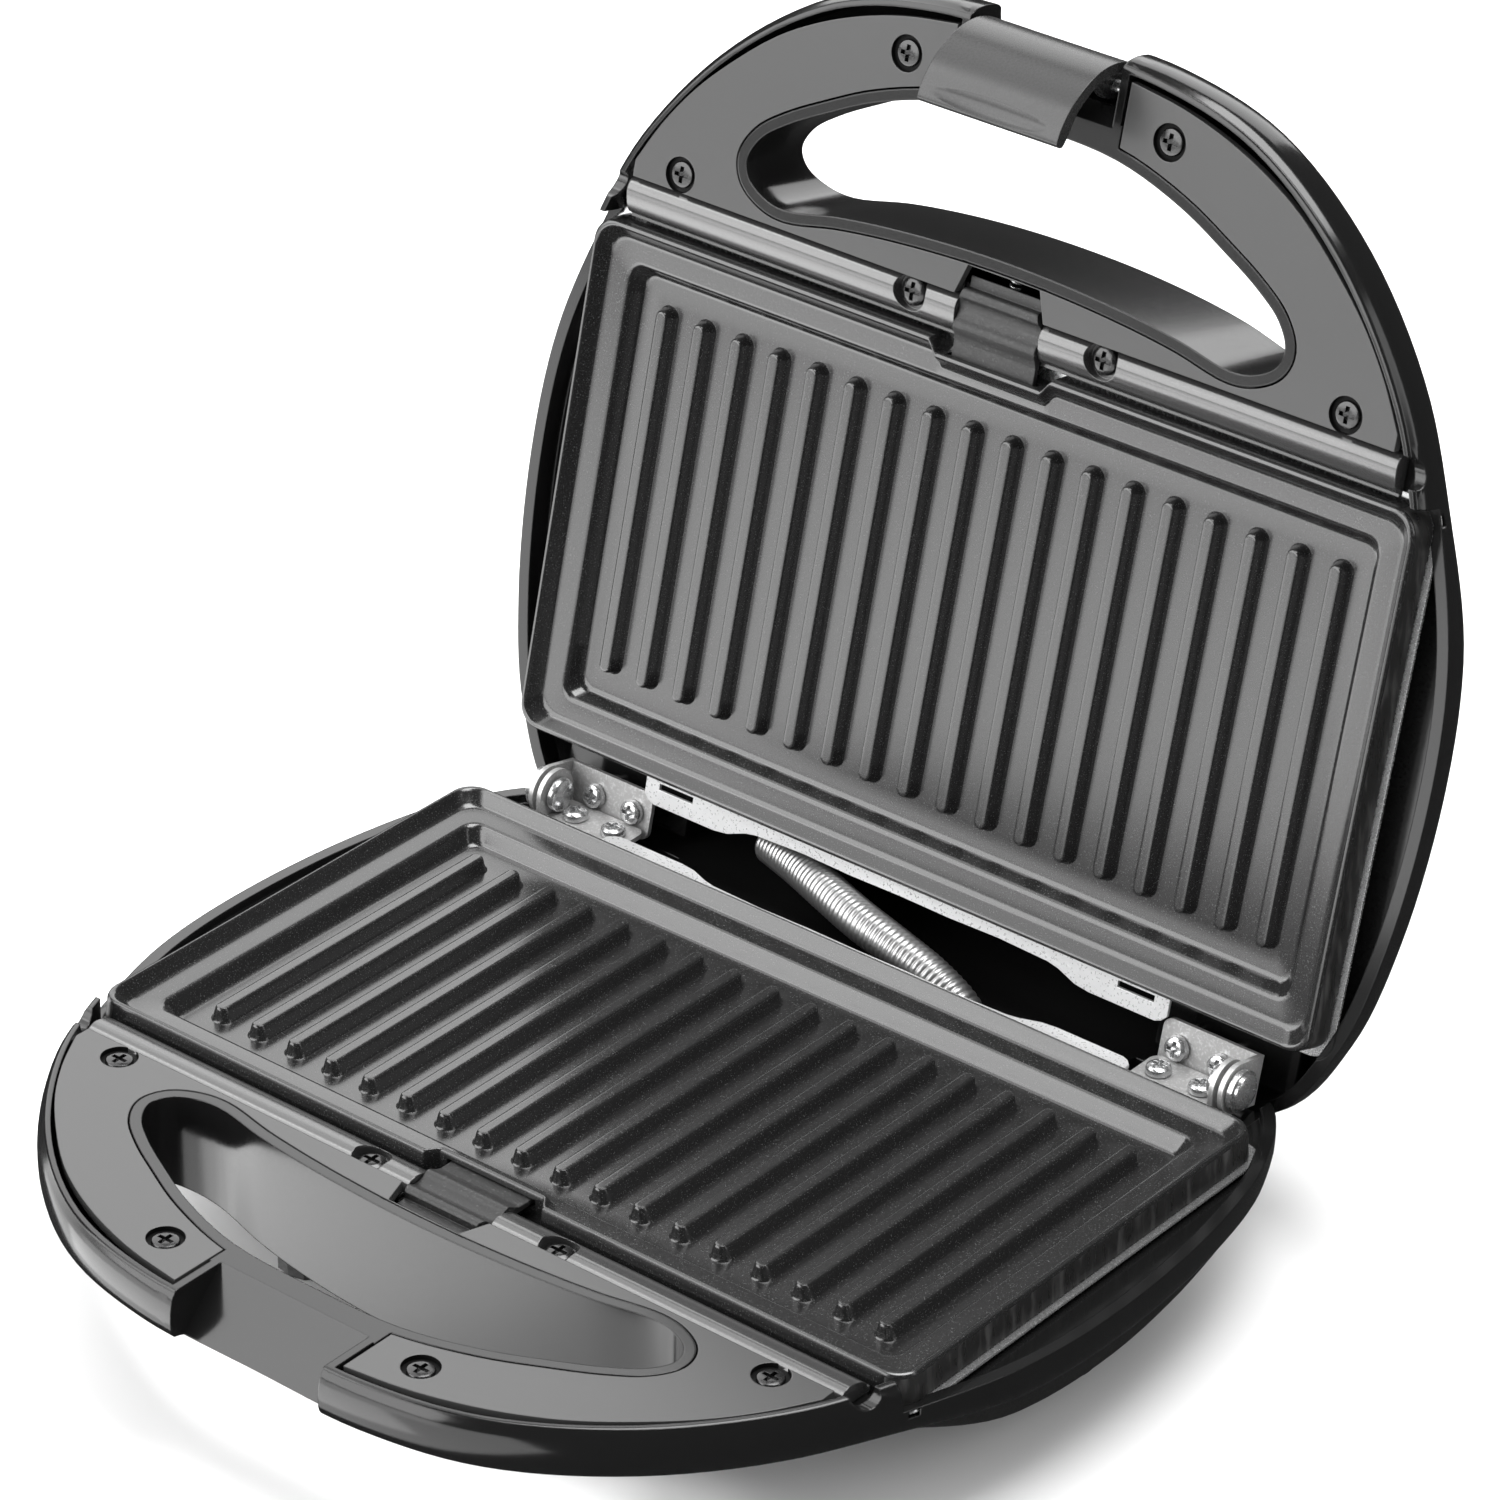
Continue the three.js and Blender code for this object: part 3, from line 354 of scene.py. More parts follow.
def grey(value, warmth=0.0):
    return (value * (1 + warmth), value, value * (1 - warmth))


gloss_black = finish("gloss_black_moulding", grey(0.007), 0.14, (1500, 0.004), round_mm=0.5,
                     roughness_span=(0.12, 0.16))
satin_grey = finish("satin_panel", grey(0.05), 0.24, (1500, 0.002), round_mm=0.35,
                    roughness_span=(0.22, 0.27))
# The rail is of the housing's gloss-black plastic with a satin roughness; its lighter base colour and
# stronger reflection are painted light.
rail_painted_light = finish("rail_satin_painted_light", grey(0.03), 0.2, (1500, 0.006), round_mm=0.35,
                    roughness_span=(0.17, 0.25), ior=1.9)
# Near-black painted shade for the screw wells, which are of the panel's own grey plastic; its dull gloss
# damps their reflections too.
screw_well_painted_shade = finish("screw_well_painted_shade", grey(0.004), 0.6, (1500, 0.02), roughness_span=(0.5, 0.7), ior=1.2)
clip_black = finish("rough_clip", grey(0.014), 0.5, (1300, 0.5), round_mm=0.4, roughness_span=(0.35, 0.6),
                    flecks=(grey(0.06), 0.58, 0.74))
cover_black = finish("matte_cover", grey(0.012), 0.4, (2400, 0.25), round_mm=0.5, roughness_span=(0.32, 0.5))
latch_black = finish("satin_latch", grey(0.022), 0.27, (1900, 0.015), round_mm=0.3,
                     roughness_span=(0.25, 0.31))
coating = finish("non_stick_coating", grey(0.012), 0.2, (3000, 0.03), round_mm=0.12,
                 roughness_span=(0.15, 0.25), flecks=(grey(0.075), 0.6, 0.74), ior=1.72)
bare_casting = finish("bare_casting", grey(0.07, 0.01), 0.34, (420, 0.25), metallic=0.8, stretch=(1, 1, 0.2),
                      roughness_span=(0.22, 0.5), turn=0.7, flecks=(grey(0.16, 0.01), 0.5, 0.68))
bright_steel = finish("bright_steel", grey(0.6, -0.005), 0.22, (1100, 0.03), metallic=0.85, round_mm=0.2,
                      roughness_span=(0.16, 0.3))
bracket_steel = finish("zinc_bracket", grey(0.46, 0.005), 0.38, (1700, 0.06), metallic=0.5,
                       roughness_span=(0.3, 0.46), flecks=(grey(0.62), 0.5, 0.68))
bright_sheet = finish("bright_sheet", grey(0.72, -0.005), 0.3, (1500, 0.012), metallic=0.5, round_mm=0.15,
                      roughness_span=(0.24, 0.4))
shield_sheet = finish("shield_sheet", grey(0.6, -0.005), 0.24, (1200, 0.03), metallic=0.85, round_mm=0.15,
                      roughness_span=(0.18, 0.32))
dark_steel = finish("dark_steel", grey(0.06), 0.2, (1400, 0.03), metallic=0.9, round_mm=0.12,
                    roughness_span=(0.15, 0.28))
winding_steel = finish("winding_steel", grey(0.42), 0.33, (1800, 0.012), metallic=0.9,
                       roughness_span=(0.28, 0.38))
heater_steel = finish("heater_steel", (0.2, 0.16, 0.13), 0.4, (700, 0.2), metallic=0.9,
                      roughness_span=(0.3, 0.55))
rubber = finish("rubber", grey(0.02), 0.75, (1200, 0.35), round_mm=0.6, roughness_span=(0.65, 0.85))
ceramic = finish("ceramic", (0.72, 0.69, 0.62), 0.5, (1500, 0.3), round_mm=0.4, roughness_span=(0.42, 0.6))
lens_red = finish("red_lens", (0.5, 0.02, 0.012), 0.12, (500, 0.04), round_mm=0.4, coat=0.5,
                  roughness_span=(0.08, 0.18))
lens_green = finish("green_lens", (0.02, 0.36, 0.06), 0.12, (500, 0.04), round_mm=0.4, coat=0.5,
                    roughness_span=(0.08, 0.18))


# ---- Placing finished pieces ----
def half_matrix(half):
    shift = Matrix.Translation(HALF_TO_ROW)
    if half == "base":
        return Matrix.Scale(MM, 4) @ shift
    hinge = Matrix.Translation((0, HINGE_Y, HINGE_Z))
    mirrored = Matrix.Translation((0, -HINGE_Y, -HINGE_Z)) @ Matrix.Diagonal((1, 1, -1, 1))
    return Matrix.Scale(MM, 4) @ shift @ hinge @ Matrix.Rotation(-OPEN_ANGLE, 4, "X") @ mirrored


def place(name, solid, half, body, nodes, slot, material, sharp_deg=32, also=None):
    """One finished piece, moved into the row frame, riding on a body and standing for CAD nodes.

    body may also be two points in the half frame, which are not used: the piece then rides on no body and
    stays where it is put. also is (a second material, a test of a face's centre and normal
    in the half frame that picks its faces)."""
    mesh = to_mesh(name, solid)
    if also:
        for face in mesh.polygons:
            face.material_index = int(also[1](face.center, face.normal))
    matrix = half_matrix(half)
    mesh.transform(matrix)
    if matrix.determinant() < 0:
        mesh.flip_normals()
    mesh.materials.append(material)
    if also:
        mesh.materials.append(also[0])
    mesh.polygons.foreach_set("use_smooth", [True] * len(mesh.polygons))
    mesh.set_sharp_from_angle(angle=math.radians(sharp_deg))
    piece = bpy.data.objects.new(name, mesh)
    bpy.context.scene.collection.objects.link(piece)
    if isinstance(body, str):
        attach(piece, body)
    else:
        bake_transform(piece)
    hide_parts(*nodes)
    return piece


# ---- Housing outlines ----
SPAN_SAMPLES = 7
rim = catmull(both_sides(RIM_HALF), SPAN_SAMPLES)
rim_out = outward(rim)
flat = catmull(both_sides(FLAT_HALF), SPAN_SAMPLES)
# How far each rim point belongs to the handle end: 0 behind y = 15, 1 ahead of y = -35.
front = np.clip((-rim[:, 1] + 15) / 50, 0, 1)
front = front * front * (3 - 2 * front)
wall_depth = SIDE_WALL_DEPTH + (FRONT_WALL_DEPTH - SIDE_WALL_DEPTH) * front
dome_power = SIDE_DOME_POWER + (FRONT_DOME_POWER - SIDE_DOME_POWER) * front


def housing_ring(offset, blend, depth):
    """The rim's outline moved out by offset less a small trim, then blended towards the flat bottom's."""
    moved = rim + rim_out * (offset - RIM_TRIM - FRONT_TRIM * front)[:, None]
    xy = moved * (1 - blend) + flat * blend
    return np.column_stack([xy, -depth * np.ones(len(xy))])


def dome_depth(blend):
    """The depth below the parting plane where the outline is blended that far towards the flat bottom."""
    return wall_depth + (SHELL_DEPTH - wall_depth) * (1 - (1 - blend) ** dome_power)


def housing_solid():
    """The outside of either half as one full solid: lip, bulging wall and domed bottom."""
    lip = [(-0.7, -RIM_Z), (-0.3, 0.36), (-0.06, 0.55), (0.06, 0.95)]
    wall = [(0.15, 0.75), (0.3, 1.25), (0.45, 1.52), (0.62, BULGE), (0.8, BULGE - 0.06), (0.9, 1.3),
            (0.96, 0.9)]
    dome = (0.015, 0.04, 0.08, 0.13, 0.2, 0.3, 0.42, 0.56, 0.72, 0.88, 1)
    rings = [housing_ring(offset, 0, depth) for offset, depth in lip]
    rings += [housing_ring(offset, 0, wall_depth * share) for share, offset in wall]
    rings.append(housing_ring(BULGE / 3, 0, wall_depth))
    rings += [housing_ring(0, blend, dome_depth(blend)) for blend in dome]
    return loft(rings)


def hollow_solid(top_z):
    """The room inside the shell, open through the parting plane up to top_z."""
    rings = [housing_ring(-RIM_WALL, 0, -top_z), housing_ring(-RIM_WALL, 0, wall_depth - WALL)]
    rings += [housing_ring(-WALL, b, dome_depth(b) - WALL) for b in (0.1, 0.18, 0.4, 0.7, 1)]
    return loft(rings)


def hole_outline(offset):
    curve = catmull(both_sides(HOLE_FRONT_HALF + HOLE_BACK_HALF), 5)
    return curve + outward(curve) * offset


outer = housing_solid()
hollow = hollow_solid(6)


def hollow_housing():
    """The housing of either half, before its own features: shell, hand hole, notch, rail bed and bosses."""
    seat_z = RIM_Z - PANEL_THICKNESS - GAP
    posts = [post(x, y, BELOW_SHELL_Z, seat_z, BOSS) for x, y in PANEL_SCREWS]
    posts += [post(x, RAIL_Y, RAIL_BOSS_Z, RAIL_BED_Z, BOSS) for x in RAIL_SCREWS_X]
    hole_wall = prism(hole_outline(HOLE_RIM), BELOW_SHELL_Z, RIM_Z)
    notch_wall = side_profile(NOTCH_BACKING, -NOTCH_HALF_WIDTH - 2, NOTCH_HALF_WIDTH + 2)
    notch_bridge = box(-23, 23, -77, -69, -3, RIM_Z)
    cross_wall = box(-130, 130, COVER_FRONT_Y - 2.2, COVER_FRONT_Y - 0.2, BELOW_SHELL_Z, seat_z)
    rail_bed = box(-RAIL_HALF - 3, RAIL_HALF + 3, COVER_FRONT_Y - 1, RAIL_BED_BACK_Y, -9, RAIL_BED_Z)
    filled = within(join(hole_wall, notch_wall, notch_bridge, cross_wall, rail_bed, *posts), outer)

    side_room = box(-FAR, FAR, HANDLE_BACK_Y, FAR, SIDE_RIM_Z, 20)
    rail_room = box(-RAIL_HALF - GAP, RAIL_HALF + GAP, PANEL_BACK_Y, HANDLE_BACK_Y + 1, RAIL_BED_Z, 20)
    shield_room = loft([plate_ring(-2.7, z) for z in (-7.1, -9)])
    plate_room = loft([plate_ring(-1, z) for z in (20, -8)])
    hand_hole = prism(hole_outline(0), -80, 20)
    rail_groove = pin_x(-FAR, FAR, RAIL_Y - GAP, RIM_Z, RAIL_RADIUS, 48)
    notch = side_profile(NOTCH_PROFILE, -NOTCH_HALF_WIDTH, NOTCH_HALF_WIDTH)
    return cut(join(cut(outer, hollow), filled),
               side_room, rail_room, shield_room, plate_room, hand_hole, rail_groove, notch)


def handle_bores():
    """The screw bores and the clip's room in the handle."""
    bores = [post(x, y, PANEL_BORE_Z, TOOL_TOP_Z, SHANK + GAP) for x, y in PANEL_SCREWS]
    bores += [post(x, RAIL_Y, RAIL_BORE_Z, TOOL_TOP_Z, SHANK + GAP) for x in RAIL_SCREWS_X]
    foot_room = box(-CLIP_POCKET_HALF, CLIP_POCKET_HALF, -36, -20.2, -8, TOOL_TOP_Z)
    clip_room = box(-CLIP_HALF_WIDTH - GAP, CLIP_HALF_WIDTH + GAP, -36.6, -14, -3.8, TOOL_TOP_Z)
    return bores + [foot_room, clip_room]


def shelf():
    """The flat frame inside the shell, round the plate; the decks and the hinge seats stand on it."""
    sheet = within(box(-130, 130, COVER_FRONT_Y - 1, 111, *SHELF_Z), outer)
    plate_well = box(-106, 106, -9.9, 100.8, -30, 0)
    return cut(sheet, plate_well)


def side_decks():
    """The raised deck that closes each side and rear corner of the base, with a low step by each hinge."""
    side_deck = (108, -19, 108, DECK_TOP_Z)
    corner_deck = (REAR_GAP_HALF, 106, FAR, DECK_TOP_Z)
    hinge_step = (REAR_GAP_HALF - 8, 107, 126, STEP_TOP_Z)
    decks = []
    for side in (-1, 1):
        for inner, y0, y1, top_z in (side_deck, corner_deck, hinge_step):
            x0, x1 = sorted((side * inner, side * FAR))
            decks.append(within(box(x0, x1, y0, y1, SHELF_Z[0] + 2 * GAP, top_z), outer))
    return decks


def hinge_seats(top_z):
    """A block and two screw posts under each hinge bracket."""
    inner, outer_end, front_y, back_y = 68, REAR_GAP_HALF + 0.9, 108, 124
    post_radius = 3.4
    seats = []
    for side in (-1, 1):
        x0, x1 = sorted((side * inner, side * outer_end))
        seats.append(within(box(x0, x1, front_y, back_y, SHELF_Z[0] + GAP, SHELF_Z[1] + GAP), outer))
        seats += [post(side * x, HINGE_Y, SHELF_Z[0] + GAP, top_z, post_radius) for x in BRACKET_SCREWS_X]
    return seats


def hinge_bores():
    return [post(side * x, HINGE_Y, HINGE_BORE_Z, TOOL_TOP_Z, SHANK + GAP)
            for side in (-1, 1) for x in BRACKET_SCREWS_X]


def plate_ring(inset, z, steps=10):
    """A rounded rectangle that the plate and its shield share, pulled in by inset.

    Each corner has a point just before and just after it, so that the straight sides look flat."""
    radius = max(PLATE_CORNER - 0.2 * inset, 3.2)
    half_x, half_y = PLATE_HALF_X - inset - radius, PLATE_HALF_Y - inset - radius
    points = []
    for corner, (sx, sy) in enumerate(((1, 1), (-1, 1), (-1, -1), (1, -1))):
        for i, straight in [(0, -0.5)] + [(i, 0) for i in range(steps + 1)] + [(steps, 0.5)]:
            angle = (corner + i / steps) * math.pi / 2
            points.append([sx * half_x + radius * math.cos(angle) - straight * math.sin(angle),
                           PLATE_Y + sy * half_y + radius * math.sin(angle) + straight * math.cos(angle), z])
    return np.array(points)


# ---- Grill plate ----
PLATE_PROFILE = [
    (11, -10.4), (10.4, -10), (8.2, -5.9), (2, -5.9), (1.4, -7.4), (-0.6, -7.4), (-0.15, -1.4),
    (0.0, -0.9), (0.15, -0.6), (0.45, -0.42), (0.8, -0.4), (1.15, -0.6), (1.5, -1.1), (2.9, -2.95),
    (3.3, -3.4), (3.9, -3.75), (4.6, -3.82), (8.3, -3.88), (8.9, -4.0), (9.4, -4.35), (9.8, -5.0),
    (10.8, -7.1), (11.2, -7.7), (11.7, -8.05), (12.4, -8.2)]
PLATE_FLOOR_Z = PLATE_PROFILE[-1][1]
RIB_PROFILE = [(5.8, -0.5, 0), (5.8, 0.02, 0), (5.2, 0.35, 0.3), (4.7, 0.9, 0.5), (3.5, 2.7, 0.8),
               (3.1, 3.1, 1), (2.6, 3.32, 1.2), (1.7, RIB_HEIGHT, 1.6), (1.3, RIB_HEIGHT + 0.002, 1.8)]


def rib(x, steps=20):
    """One rib: stacked outlines with round ends, narrower and shorter towards the top."""
    rings = []
    for width, height, shrink in RIB_PROFILE:
        radius = width / 2
        ring = []
        for y, turn in ((RIB_BACK - radius - shrink, 1), (RIB_FRONT + radius + shrink, -1)):
            for i, straight in [(0, 0.4)] + [(i, 0) for i in range(steps + 1)] + [(steps, 0.4)]:
                angle = i / steps * math.pi
                ring.append([x + turn * radius * math.cos(angle),
                             y + turn * (radius * math.sin(angle) - straight), PLATE_FLOOR_Z + height])
        rings.append(np.array(ring))
    return loft(rings)


def jogged_ring(inset, z, steps=12):
    """The plate's ring, stepping inward at the front to make room for the clip."""
    ring = plate_ring(inset, z, steps)
    edge = PLATE_Y - PLATE_HALF_Y + inset
    depth = JOG_DEPTH * min(max((8.8 - inset) / (8.8 - 3.9), 0), 1)
    bend = [(0, 0), (0.12, 0.02), (0.4, 0.35), (0.6, 0.65), (0.88, 0.98), (1, 1)]
    left = [[-JOG_FOOT + t * (JOG_FOOT - JOG_HALF), edge + lift * depth, z] for t, lift in bend]
    jog = left + [[-x, y, z] for x, y, z in left[::-1]]
    points_per_corner = steps + 3
    start = 3 * points_per_corner
    return np.vstack([ring[:start], jog, ring[start:]])


def grill_plate():
    casting = loft([jogged_ring(inset, z) for inset, z in PLATE_PROFILE])
    ribs = together(*[rib((i - (RIB_COUNT - 1) / 2) * RIB_PITCH) for i in range(RIB_COUNT)])
    slot_half = CLIP_HALF_WIDTH + 4 * GAP
    tongue_slot = box(-slot_half, slot_half, PLATE_Y - PLATE_HALF_Y, CLIP_TONGUE_Y + GAP,
                      CLIP_TONGUE_Z[0] - 2 * GAP, CLIP_TONGUE_Z[1] + GAP)
    return cut(join(casting, ribs), tongue_slot)


def heat_shield():
    profile = [(8.4, -17), (7.8, -8.9), (7.4, -8.5), (-2.1, -8.5), (-2.3, -8.1), (-2.1, -7.7), (8.2, -7.7),
               (8.6, -8.1), (9.2, -16.2)]
    return loft([plate_ring(inset, z, 12) for inset, z in profile])


def heating_element():
    corner = [[-82, 92], [-82, 80], [-82, 24], [-68, 10], [0, 10], [68, 10], [82, 24], [82, 80], [82, 92]]
    path = catmull([[x, y, -13.2] for x, y in corner], 8, closed=False)
    return tube(path, [2.4] * len(path))


def plate_retainer():
    near = PLATE_Y + PLATE_HALF_Y + 0.6
    half = [[75, near], [75, near + 4.6], [73.6, near + 6], [72, near + 6.6], [54, near + 6.6],
            [50, near + 6.1], [45, near + 4.2], [42, near + 3.6], [28, near + 3.1], [14, near + 3.4],
            [0, near + 3.2]]
    outline = half + [[-x, y] for x, y in half[-2::-1]]
    slots = [box(x - 5, x + 5, near + 1, near + 2.6, -6, 0) for x in (-66, 66)]
    return cut(prism(outline, -4.2, -4.2 + SHEET), *slots)


# ---- Handle panel, rail, clip ----
def panel_outline():
    edge = catmull(PANEL_EDGE_HALF, 4, closed=False).tolist() + [[PANEL_EDGE_HALF[-1][0], PANEL_BACK_Y]]
    right = [PANEL_END] + edge + CLIP_CUT
    return right + [[-x, y] for x, y in right[::-1]] + [[-PANEL_END[0], -60], [PANEL_END[0], -60]]


def handle_panel():
    wells = [post(x, y, RIM_Z - SCREW_WELL_DEPTH, TOOL_TOP_Z, SCREW_WELL_RADIUS) for x, y in PANEL_SCREWS]
    bores = [post(x, y, -10, TOOL_TOP_Z, SHANK + GAP) for x, y in PANEL_SCREWS]
    return cut(prism(panel_outline(), RIM_Z - PANEL_THICKNESS, RIM_Z),
               prism(hole_outline(HOLE_RIM + 0.4), -10, TOOL_TOP_Z),
               box(-PANEL_END[0], PANEL_END[0], -100, PANEL_END[1] + HOLE_RIM, -10, TOOL_TOP_Z),
               *wells, *bores)


def rail():
    bar = pin_x(-RAIL_HALF, RAIL_HALF, RAIL_Y, RAIL_Z, RAIL_RADIUS, 64)
    skirt = box(-RAIL_HALF, RAIL_HALF, RAIL_Y - RAIL_RADIUS, -18.6, RAIL_Z - 1.2, RAIL_Z)
    shoulder = [[-25.4, RAIL_Z], [-25.4, -0.62], [-24.4, -0.68], [-23.2, -0.92], [-22, -1.3], [-20.9, -1.85],
                [-20, -2.55], [-19.4, RAIL_Z]]
    bores = []
    for x in RAIL_SCREWS_X:
        bores += [post(x, RAIL_Y, RAIL_Z + 0.1, TOOL_TOP_Z, RAIL_WELL_RADIUS),
                  post(x, RAIL_Y, RAIL_Z - 10, TOOL_TOP_Z, SHANK + GAP)]
    underside = box(-200, 200, -40, -10, RAIL_Z - 20, RAIL_Z - 1.2)
    clip_room = box(-CLIP_HALF_WIDTH - GAP, CLIP_HALF_WIDTH + GAP, -40, -10, RAIL_Z, TOOL_TOP_Z)
    foot_room = box(-CLIP_POCKET_HALF, CLIP_POCKET_HALF, -34, -20.2, RAIL_Z - 3, TOOL_TOP_Z)
    return cut(join(bar, skirt, side_profile(shoulder, -RAIL_HALF, RAIL_HALF)),
               underside, clip_room, foot_room, *bores)


def release_clip():
    top = [[-30.6, -1.2], [-30.2, -0.7], [-29.4, -0.48], [-28.5, -0.6], [-27.5, -1.4], [-25.6, -2],
           [-23.7, -1.45], [-22.6, -0.7], [-21.7, -0.5], [-20.9, -0.8], [-19.4, -1.6], [-17.9, -2.2]]
    apron = [[-33.2, -3.4], [-33.2, -2.8], [-30.6, -2.8]]
    tongue = [[CLIP_TONGUE_Y, CLIP_TONGUE_Z[1]], [CLIP_TONGUE_Y, CLIP_TONGUE_Z[0]]]
    profile = apron + catmull(top, 5, closed=False).tolist() + tongue
    taper = [[CLIP_HALF_WIDTH, 0], [CLIP_HALF_WIDTH, -27.4], [CLIP_FRONT_HALF, -31], [CLIP_FRONT_HALF, -34]]
    plan = prism(taper + [[-x, y] for x, y in taper[::-1]], -10, 10)
    saddle = within(side_profile(profile, -CLIP_HALF_WIDTH, CLIP_HALF_WIDTH), plan)
    foot = box(-CLIP_FOOT_HALF, CLIP_FOOT_HALF, -29.6, -25, -7.4, -3.3)
    return join(saddle, foot)


def cross_head_screw(x, y, head_z, head_radius, head_height, length):
    """A pan-head screw with a cross recess."""
    r, h, z = head_radius, head_height, head_z
    profile = [(z - h - length, 0.6), (z - h - length + 1.6, SHANK), (z - h, SHANK), (z - h, r),
               (z - 0.62 * h, r), (z - 0.3 * h, 0.93 * r), (z - 0.1 * h, 0.76 * r), (z, 0.45 * r)]
    body = turned(2, (x, y, 0), profile, 28)
    wide, deep, slim = 0.62 * r, max(0.6 * h, 0.9), 0.5
    cross = join(box(x - wide, x + wide, y - slim, y + slim, z - deep, z + 1),
                 box(x - slim, x + slim, y - wide, y + wide, z - deep, z + 1))
    return cut(body, cross)


# ---- Hinge ----
def bracket(side, plate_z, axis_z, ear_x):
    """A hinge bracket: a screwed-down plate with a round-topped ear on the hinge axis."""
    e0, e1 = sorted((side * (ear_x - BRACKET_THICK), side * ear_x))
    y0, y1 = HINGE_Y - BRACKET_HALF_Y, HINGE_Y + BRACKET_HALF_Y
    ear = join(box(e0, e1, y0, y1, plate_z - BRACKET_THICK, axis_z),
               pin_x(e0, e1, HINGE_Y, axis_z, BRACKET_HALF_Y, 48))
    screw_bores = [post(side * x, HINGE_Y, plate_z - 5, plate_z + 5, 1.9) for x in BRACKET_SCREWS_X]
    rivet_bore = pin_x(e0 - 5, e1 + 5, HINGE_Y, axis_z, 2.6)
    corner = 2.4
    arc = [(corner * (1 - math.cos(a)), corner * (1 - math.sin(a))) for a in np.linspace(0, math.pi / 2, 7)]
    inner_end = [[BRACKET_INNER + u, y0 + v] for u, v in arc[::-1]]
    inner_end += [[BRACKET_INNER + u, y1 - v] for u, v in arc]
    outline = [[side * x, y] for x, y in inner_end + [[ear_x, y1], [ear_x, y0]]]
    flat_part = prism(outline, plate_z - BRACKET_THICK, plate_z)
    return cut(join(flat_part, ear), *screw_bores, rivet_bore)


def hinge_rivet(side):
    profile = [(93.5, 3.2), (93.8, 3.9), (94.3, 4.2), (95.3, 4.2), (95.3, 2.3), (99.7, 2.3), (99.7, 5),
               (101.1, 5), (101.1, 4.2), (101.9, 4.1), (102.25, 3.6), (102.4, 2.6)]
    return turned(0, (0, HINGE_Y, HINGE_Z), [(side * along, radius) for along, radius in profile], 36)


# ---- Latch ----
def latch():
    back = [[-89.6, -5.6], [-90, -1.5], [-89.4, 2.6], [-87.8, 6.8], [-85, 10.8], [-81.4, 14.2], [-77.2, 16.6]]
    tip = [[-74.2, 17.4], [-73.4, 17.3], [-72.85, 16.7], [-72.6, 15.9], [-72.8, 15.1], [-74.4, 14]]
    inner = [[-79.6, 11.8], [-83.1, 8.7], [-85.6, 5.2], [-87, 1.8], [-87.4, -1.5], [-87, -5.6]]
    profile = catmull(back + tip + inner, 5, closed=False).tolist()
    cover = side_profile(profile, -LATCH_HALF_WIDTH, LATCH_HALF_WIDTH)
    arm = [[-88.2, -5.4], [-88.2, 1], [-86, 3], [-80.6, -4], [-80.4, -8], [-82, -9.8], [-85, -9.8]]
    barrel = [(x, 4 - 1.3 * (x / 17.5) ** 2) for x in np.linspace(-17.5, 17.5, 25)]
    arms = [side_profile(arm, 13, 15.5), side_profile(arm, -15.5, -13)]
    pin_bore = pin_x(-17, 17, LATCH_Y, LATCH_Z, PIN_BORE)
    finger_dip = turned(0, (0, -76.75, 19.85), barrel, 48)
    return cut(join(cover, *arms), pin_bore, finger_dip)


def coil(start, end, radius, wire, turns):
    """A helical spring between two points on a line along X or Y; wire is its wire's radius."""
    start, end = np.array(start, float), np.array(end, float)
    t = np.linspace(0, 1, turns * 20 + 1)
    axis = (end - start) / np.linalg.norm(end - start)
    u = np.cross(axis, [0, 0, 1])
    w = np.cross(axis, u)
    angle = t * turns * 2 * math.pi
    offset = np.outer(np.cos(angle), u) + np.outer(np.sin(angle), w)
    path = start + np.outer(t, end - start) + radius * offset
    return tube(path, [wire] * len(path), sides=8)


# ---- Both halves ----
def on_skirt(centre, normal):
    """The uncoated left and right ends of the plate, below its rim."""
    upright = abs(normal.z) < 0.3 and normal.x * centre.x > 0
    return upright and abs(centre.x) > PLATE_HALF_X - 4.2 and -7.35 < centre.z < -1.2


# The faces picked here get the near-black painted shade in place of the panel's grey.
def in_screw_well(centre, normal):
    """The floor and wall round the heads of the panel screws."""
    nearest = min(math.dist(centre[:2], screw) for screw in PANEL_SCREWS)
    return centre.z < RIM_Z - 0.4 and nearest < SCREW_WELL_RADIUS + 0.1


